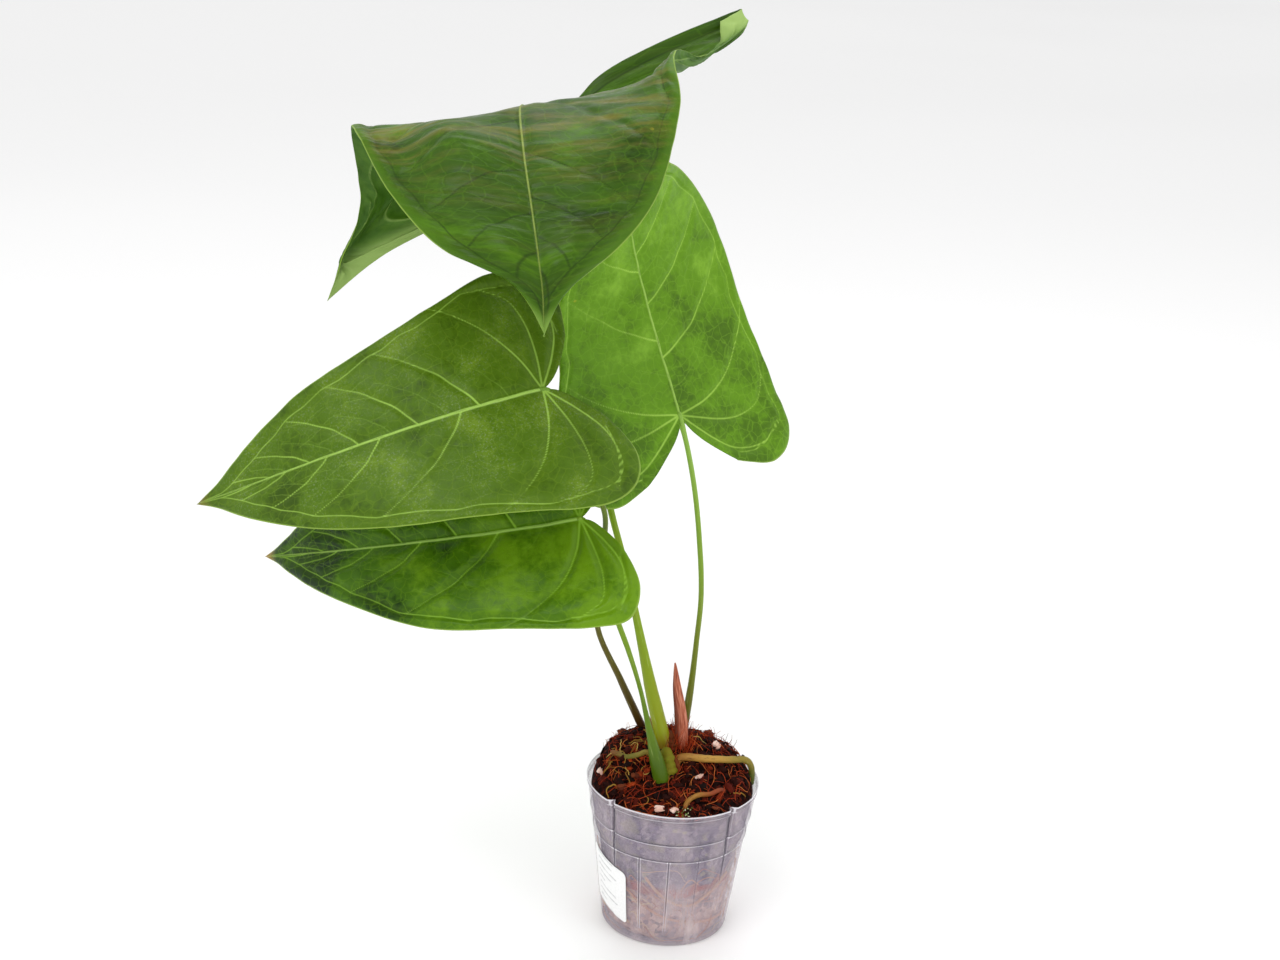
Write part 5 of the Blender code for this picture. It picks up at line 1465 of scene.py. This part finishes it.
def stalk_skin(name, tones, foot_tone, length):
    """Stalk skin: smooth and waxy, faintly streaked along its length, browner where it leaves the mix."""
    mat, tree, shader = new_finish(name, roughness=0.36, ior=1.45, specular_ior_level=0.3)
    along = add(tree, "Attribute", {"attribute_name": "along"}).outputs["Fac"]
    plan = add(tree, "UVMap", {"uv_map": "plan"}).outputs[0]
    drawn = add(tree, "Mapping", {"Scale": (1.0, 0.07, 1.0)}, {0: plan}).outputs[0]
    streak = add(tree, "TexNoise", {"Scale": per_mm(1.6), "Detail": 5.0, "Roughness": 0.6},
                 {"Vector": drawn}).outputs[0]
    fleck = add(tree, "TexNoise", {"Scale": per_mm(2.5), "Detail": 5.0, "Roughness": 0.8},
                {"Vector": plan}).outputs[0]
    share = add(tree, "Math", {"operation": "DIVIDE", 1: length}, {0: along}).outputs[0]
    share = add(tree, "Math", {"operation": "MULTIPLY_ADD", 1: 0.16}, {0: streak, 2: share}).outputs[0]
    share = add(tree, "Math", {"operation": "SUBTRACT", 1: 0.08}, {0: share}).outputs[0]
    stops = tuple(zip((0.03, 0.25, 0.6, 0.93), tones))
    body = add(tree, "ValToRGB", {"stops": stops}, {0: share}).outputs[0]
    body = lay(tree, body, [
        (streak, 0.56, 0.75, 0.0, 0.30, "dbe49a"),
        (fleck, 0.30, 0.40, 0.35, 0.0, foot_tone),
        (along, 0.009, 0.024, 0.85, 0.0, foot_tone)])
    gloss = add(tree, "MapRange", {**EASED, 1: 0.35, 2: 0.7, 3: 0.28, 4: 0.46}, {0: streak}).outputs[0]
    bump = add(tree, "Bump", {"Strength": 0.25, "Distance": 0.0003}, {"Height": streak}).outputs[0]
    feed(tree, shader, {"Base Color": body, "Roughness": gloss, "Normal": bump})
    return mat


def build_stalks():
    """Leaf stalks: smooth tapering rods, thick at the foot, each with a knee under its blade."""
    for number, (name, stalk) in enumerate(STALKS.items()):
        x, y = (value * MM for value in stalk["stands"])
        places = [np.array([x, y, mix_top(x, y)])] + [grown(p) for p in stalk["route"]]
        foot = places[0] + unit(places[0] - places[1]) * SOCKET_DEPTH
        base, pointing, upper = blade_base(name.replace("petiole", "leaf_blade"))
        under = base - upper * stalk["head"] * 0.75 * MM
        head = under + pointing * 2.0 * MM
        count = 90
        route = smooth_route([foot] + places[:-1] + [under, head], count)
        share = np.linspace(0, 1, count)
        sizes = (stalk["foot"], stalk["foot"], stalk["near_foot"], stalk["middle"], stalk["head"])
        radii = rounded_curve((0, 0.07, 0.22, 0.6, 1.0), sizes, share) * MM
        # the knee just under the blade is a little swollen
        radii *= 1 + 0.22 * np.exp(-((share - 0.965) / 0.022) ** 2)
        points, faces, along, around = tube_shape(route, radii, 20, knobble=0.03, seed=number * 9.0)
        plan = np.stack([np.array(around) * TURN * 2.3 * MM, np.array(along)], axis=1)
        skin = stalk_skin(stalk["slot"], stalk["tones"], stalk["foot_tone"], float(along.max()))
        piece = mesh_piece(name.replace("petiole", "stalk"), points, faces, skin,
                           {"along": along}, None, plan)
        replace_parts(piece, name)


# ---------------------------------------------------------------- roots and sheaths
# routes in mm across the mix and above its smooth surface, radii in mm, tones from start to tip
AERIAL_ROOTS = {
    "aerial_root_right": dict(
        route=((1, -7, -6), (5, -8, 1.5), (11, -8.5, 3.4), (18, -8, 3.6), (32, -4.6, 3.8), (43, 0, 4.2),
               (50.5, 1.5, 8.5), (54.8, 2.5, 9), (56, 2.5, 5.5), (56, 2.5, 1.2), (55.6, 2.5, -3)),
        radius=2.9, tip=2.3, tones=("9c6a2a", "b58a3a", "8c7a2a", "4f5a14")),
    "aerial_root_left": dict(
        route=((-44, 0, 0.8), (-40, -4.4, 2.2), (-33, -8.5, 2.5), (-26, -8, 2.6), (-19.5, -6, 2),
               (-15, -6, -5)),
        radius=1.9, tip=2.0, tones=("7a4a1a", "6f6a20", "8a7a2c", "5f3a14")),
    "aerial_root_front": dict(
        route=((8, -46, -4), (9.5, -41, 1.6), (16, -34.6, 2.4), (25.7, -31.4, 2.4), (32.7, -26.5, 2.0),
               (38, -21.8, -3)),
        radius=1.8, tip=1.7, tones=("8a5a1a", "9a6a24", "8a3c14", "6a240c")),
}


def on_mix(point):
    """A place given in mm across the mix and above its smooth surface."""
    x, y, rise = (value * MM for value in point)
    return np.array([x, y, mound(x, y) + rise])


def root_skin(name, tones):
    """Root skin: corky and dull, tan to olive, with fine rings and darker flecks."""
    mat, tree, shader = new_finish(name, roughness=0.62, ior=1.4)
    along = add(tree, "Attribute", {"attribute_name": "along"}).outputs["Fac"]
    plan = add(tree, "UVMap", {"uv_map": "plan"}).outputs[0]
    drawn = add(tree, "Mapping", {"Scale": (1.0, 0.35, 1.0)}, {0: plan}).outputs[0]
    cork = add(tree, "TexNoise", {"Scale": per_mm(1.4), "Detail": 6.0, "Roughness": 0.65},
               {"Vector": drawn}).outputs[0]
    share = add(tree, "Math", {"operation": "MULTIPLY_ADD", 1: 0.35}, {0: cork, 2: along}).outputs[0]
    share = add(tree, "Math", {"operation": "SUBTRACT", 1: 0.175}, {0: share}).outputs[0]
    stops = tuple(zip((0.05, 0.4, 0.7, 0.95), tones))
    body = add(tree, "ValToRGB", {"stops": stops}, {0: share}).outputs[0]
    body = lay(tree, body, [(cork, 0.32, 0.46, 0.6, 0.0, "3f2408"), (cork, 0.60, 0.72, 0.0, 0.5, "d9c384")])
    bump = add(tree, "Bump", {"Strength": 0.6, "Distance": 0.0006}, {"Height": cork}).outputs[0]
    feed(tree, shader, {"Base Color": body, "Normal": bump})
    return mat


def build_roots():
    """Thick corky roots that lie over the mix, knobbled along their length."""
    for number, (name, root) in enumerate(AERIAL_ROOTS.items()):
        count = 70
        route = smooth_route([on_mix(p) for p in root["route"]], count)
        radii = np.linspace(root["radius"], root["tip"], count) * MM * 0.96
        points, faces, along, around = tube_shape(route, radii, 18, knobble=0.14, seed=number * 4.0)
        plan = np.stack([around * TURN * 2.2 * MM, along], axis=1)
        piece = mesh_piece(name.replace("aerial_root", "stilt_root"), points, faces,
                           root_skin("corky_root_skin_%d" % (number + 1), root["tones"]),
                           {"along": along / along.max()}, None, plan)
        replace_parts(piece, name)


# points as (degrees round the pot, share of the height up to the lower step)
WALL_ROOTS = (
    ((225, 0.68), (247, 0.49), (268, 0.35), (290, 0.28), (318, 0.22), (345, 0.19)),
    ((328, 0.76), (310, 0.60), (292, 0.49), (276, 0.53), (262, 0.66), (252, 0.81)),
    ((236, 0.18), (222, 0.26), (205, 0.22), (186, 0.15), (160, 0.18)),
    ((60, 0.74), (72, 0.53), (88, 0.40), (108, 0.34), (130, 0.38)),
)


def wall_route(route, count, depth):
    """A smooth run just inside the wall, given as (degrees round, share of the height)."""
    coarse = np.array(route, float)
    fine = rounded_curve(np.linspace(0, 1, len(route)), coarse, np.linspace(0, 1, count))
    places = []
    for degrees, height in fine:
        angle = math.radians(degrees)
        height = height * (STEP_LOW - 4 * MM)
        radius = wall_radius(0.0, height) - POT_WALL - depth
        places.append((radius * math.cos(angle), radius * math.sin(angle), height))
    return places


def build_wall_roots():
    """Roots that circle between the mix and the film, tan and orange."""
    skin = tinted("potbound_root_skin", [(0.0, "a8582a"), (0.5, "cf9458"), (1.0, "ecd3a0")], 0.6, 3.0)
    for number, route in enumerate(WALL_ROOTS, 1):
        heap = Heap()
        places = wall_route(route, 60, 1.5 * MM)
        points, faces, _, _ = tube_shape(places, [0.95 * MM] * 60, 10, knobble=0.12, seed=number * 3.0)
        heap.put(points, faces, 0.3 + 0.15 * number)
        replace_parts(heap.piece("circling_root_%d" % number, skin, "pot_root_skin"), "wall_root_%d" % number)
    heap = Heap()
    for number in range(FINE_ROOTS):
        start = random.uniform(0, 360)
        level = random.uniform(0.06, 0.9)
        route = [(start, level)]
        for _ in range(5):
            start += random.uniform(3, 14) * (1 if number % 2 else -1)
            level = min(0.93, max(0.05, level + random.uniform(-0.16, 0.10)))
            route.append((start, level))
        radius = random.uniform(0.22, 0.5) * MM
        places = wall_route(route, 34, 1.0 * MM)
        points, faces, _, _ = tube_shape(places, np.linspace(radius, radius * 0.5, 34), 6)
        heap.put(points, faces, random.random())
    heap.piece("fine_wall_roots", skin, "pot_root_skin")


# place on the mix and route as for the stalks, half widths in mm, facing and half curl in degrees
SHEATHS = {
    "cataphyll_sheath": dict(stands=(4.5, 2), route=((4, 1, 36), (2, 0, 52), (-1, -1, 68), (-4, -2, 89)),
                             widths=(4.8, 4.6, 3.8, 2.6, 0.4), facing=-80, bend=70),
    "cataphyll_stub": dict(stands=(-17, 10), route=((-17.5, 10, 30), (-18.5, 9, 36), (-20, 8, 43)),
                           widths=(3.0, 2.8, 2.0, 0.4), facing=-110, bend=60),
}


def dry_sheath_skin():
    """A dried bract: papery and fibrous, pink-brown with darker lengthwise fibres."""
    mat, tree, shader = new_finish("dried_bract", roughness=0.62, ior=1.4)
    plan = add(tree, "UVMap", {"uv_map": "plan"}).outputs[0]
    drawn = add(tree, "Mapping", {"Scale": (1.0, 0.05, 1.0)}, {0: plan}).outputs[0]
    fibre = add(tree, "TexNoise", {"Scale": per_mm(0.9), "Detail": 5.0, "Roughness": 0.65},
                {"Vector": drawn}).outputs[0]
    across = add(tree, "SeparateXYZ", links={0: plan}).outputs[0]
    stops = ((0.30, "5a1c10"), (0.45, "a9583c"), (0.62, "cf8468"), (0.8, "e8b49c"))
    body = add(tree, "ValToRGB", {"stops": stops}, {0: fibre}).outputs[0]
    body = lay(tree, body, [(across, 0.0015, 0.0045, 0.75, 0.0, "5f1d0f")])
    bump = add(tree, "Bump", {"Strength": 0.7, "Distance": 0.0005}, {"Height": fibre}).outputs[0]
    feed(tree, shader, {"Base Color": body, "Normal": bump})
    return mat


SHEATH_ROWS = 50
SHEATH_COLUMNS = 24
SHEATH_THICKNESS = 0.4 * MM


def build_sheaths():
    """Dried sheaths: curled, pleated sheets that narrow to a tip."""
    skin = dry_sheath_skin()
    for name, sheath in SHEATHS.items():
        x, y = (value * MM for value in sheath["stands"])
        places = [np.array([x, y, mix_top(x, y) - SHEATH_DEPTH])] + [grown(p) for p in sheath["route"]]
        route = smooth_route(places, SHEATH_ROWS)
        widths = rounded_curve(np.linspace(0, 1, len(sheath["widths"])), sheath["widths"],
                               np.linspace(0, 1, SHEATH_ROWS))
        facing = math.radians(sheath["facing"])
        forward = np.array([math.cos(facing), math.sin(facing), 0.0])
        length = np.concatenate([[0], np.cumsum(np.linalg.norm(np.diff(route, axis=0), axis=1))])
        points, plan = [], []
        for layer in (0, 1):
            for i in range(SHEATH_ROWS):
                ahead = unit(route[min(i + 1, SHEATH_ROWS - 1)] - route[max(i - 1, 0)])
                out = unit(forward - ahead * np.dot(forward, ahead))
                sideways = np.cross(ahead, out)
                radius = widths[i] * MM
                for j in range(SHEATH_COLUMNS):
                    angle = math.radians(sheath["bend"]) * (2 * j / (SHEATH_COLUMNS - 1) - 1)
                    pleated = 1 + 0.05 * math.sin(j * 1.9 + i * 0.08)
                    grow = radius * pleated + SHEATH_THICKNESS * layer * min(1.0, widths[i])
                    points.append(route[i] + grow * (math.sin(angle) * sideways)
                                  + (grow * math.cos(angle) - 0.6 * radius) * out)
                    plan.append((angle * radius + 4.8 * MM, length[i]))
        faces = sheet_faces(SHEATH_ROWS, SHEATH_COLUMNS)
        piece = mesh_piece(name.replace("cataphyll", "bract"), points, faces, skin,
                           None, None, plan)
        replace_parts(piece, name)


# stubs of the stem and of old leaf bases, in mm: place, radius, height, lean and tint
STEM_STUBS = (
    (-2.5, -16, 5.8, 17, -4.5, 4, 0.66), (4, -13, 2.6, 10, -6, 4, 0.30), (-13, 8, 5.0, 9, -3, 4, 0.15),
    (1, 12, 5.0, 10, 2, 4, 0.12), (-3, 3, 7.0, 11, -1, 0, 0.2),
)


def build_crown():
    """The plant's short stem, ringed by old leaf scars, that the stalks rise from."""
    stops = ((0.0, "3a140a"), (0.4, "7a3f16"), (0.75, "6f7a14"), (1.0, "8f9a2a"))
    skin = tinted("stem_bark", stops, 0.6, 2.4)
    heap = Heap()
    count = 22
    for x, y, radius, tall, lean_x, lean_y, tone in STEM_STUBS:
        x *= MM
        y *= MM
        base = np.array([x, y, mix_top(x, y) - 5 * MM])
        top = base + np.array([lean_x, lean_y, tall + 3]) * MM
        route = smooth_route([base, (base + top) / 2 + np.array([0.5, 0, 0]) * MM, top], count)
        share = np.linspace(0, 1, count)
        radii = radius * MM * (1 - 0.45 * share ** 2) * (1 + 0.07 * np.cos(share * 30))
        radii[-1] *= 0.6
        points, faces, _, _ = tube_shape(route, radii, 18, knobble=0.25, seed=x * 900)
        heap.put(points, faces, tone)
    heap.piece("stem_crown", skin, "dry_sheath")


build_pot()
build_label()
build_mix()
scatter_bark()
build_chips()
scatter_fibres()
build_stalks()
build_roots()
build_wall_roots()
build_sheaths()
build_crown()

# ---------------------------------------------------------------- stage: floor, light, camera


GROUND_REACH = 40.0
GROUND_DROP = 0.5 * MM
SKY_STRENGTH = 0.88
LAMP_AIM = Vector((-0.05, 0.0, 0.35))
# name, place, width and power of each soft round lamp
LAMPS = (
    ("key", (-0.9, -1.3, 2.1), 1.4, 15), ("fill", (1.6, -1.0, 1.2), 1.6, 5), ("top", (0.1, 0.9, 2.2), 1.5, 9),
)


def build_stage():
    """Matt white paper to stand on, an even white surround and three soft lamps."""
    mat, tree, shader = new_finish("matt_white_paper", roughness=0.85)
    fibre = add(tree, "TexNoise", {"Scale": per_mm(60), "Detail": 3.0}).outputs[0]
    tone = add(tree, "ValToRGB", {"stops": ((0.3, "fafafa"), (0.7, "ffffff"))}, {0: fibre}).outputs[0]
    feed(tree, shader, {"Base Color": tone})
    mesh = bpy.data.meshes.new("floor")
    corners = [(x * GROUND_REACH, y * GROUND_REACH, 0) for x, y in ((-1, -1), (1, -1), (1, 1), (-1, 1))]
    mesh.from_pydata(corners, [], [(0, 1, 2, 3)])
    mesh.materials.append(mat)
    floor = bpy.data.objects.new("floor", mesh)
    floor.location.z = -GROUND_DROP
    bpy.context.scene.collection.objects.link(floor)
    world = bpy.data.worlds.new("studio")
    world.use_nodes = True
    world.node_tree.nodes["Background"].inputs[0].default_value = (1, 1, 1, 1)
    world.node_tree.nodes["Background"].inputs[1].default_value = SKY_STRENGTH
    bpy.context.scene.world = world
    for name, place, size, power in LAMPS:
        lamp = bpy.data.lights.new(name, "AREA")
        lamp.shape = "DISK"
        lamp.size = size
        lamp.energy = power
        holder = bpy.data.objects.new(name, lamp)
        holder.location = place
        holder.rotation_euler = (LAMP_AIM - Vector(place)).to_track_quat("-Z", "Y").to_euler()
        bpy.context.scene.collection.objects.link(holder)


EYE_PLACE = (-0.036, -1.236, 0.751)
EYE_PITCH = math.radians(-18.8)
EYE_LEAN = math.radians(3.5)
FOCAL_LENGTH = 54.6
SENSOR_WIDTH = 36.0


def build_camera():
    """The eye stands 1.24 m in front and 0.75 m up, tipped down and leaning a little."""
    ahead = Vector((0, math.cos(EYE_PITCH), math.sin(EYE_PITCH)))
    right = Vector((1, 0, 0))
    up = right.cross(ahead)
    leaned_right = math.cos(EYE_LEAN) * right + math.sin(EYE_LEAN) * up
    leaned_up = -math.sin(EYE_LEAN) * right + math.cos(EYE_LEAN) * up
    turn = Matrix((leaned_right, leaned_up, -ahead)).transposed()
    lens = bpy.data.cameras.new("eye")
    lens.sensor_width = SENSOR_WIDTH
    lens.lens = FOCAL_LENGTH
    lens.clip_start = 0.02
    lens.clip_end = 100
    eye = bpy.data.objects.new("eye", lens)
    eye.matrix_world = Matrix.Translation(EYE_PLACE) @ turn.to_4x4()
    bpy.context.scene.collection.objects.link(eye)
    bpy.context.scene.camera = eye


build_stage()
build_camera()
bpy.context.scene.view_settings.view_transform = "Standard"
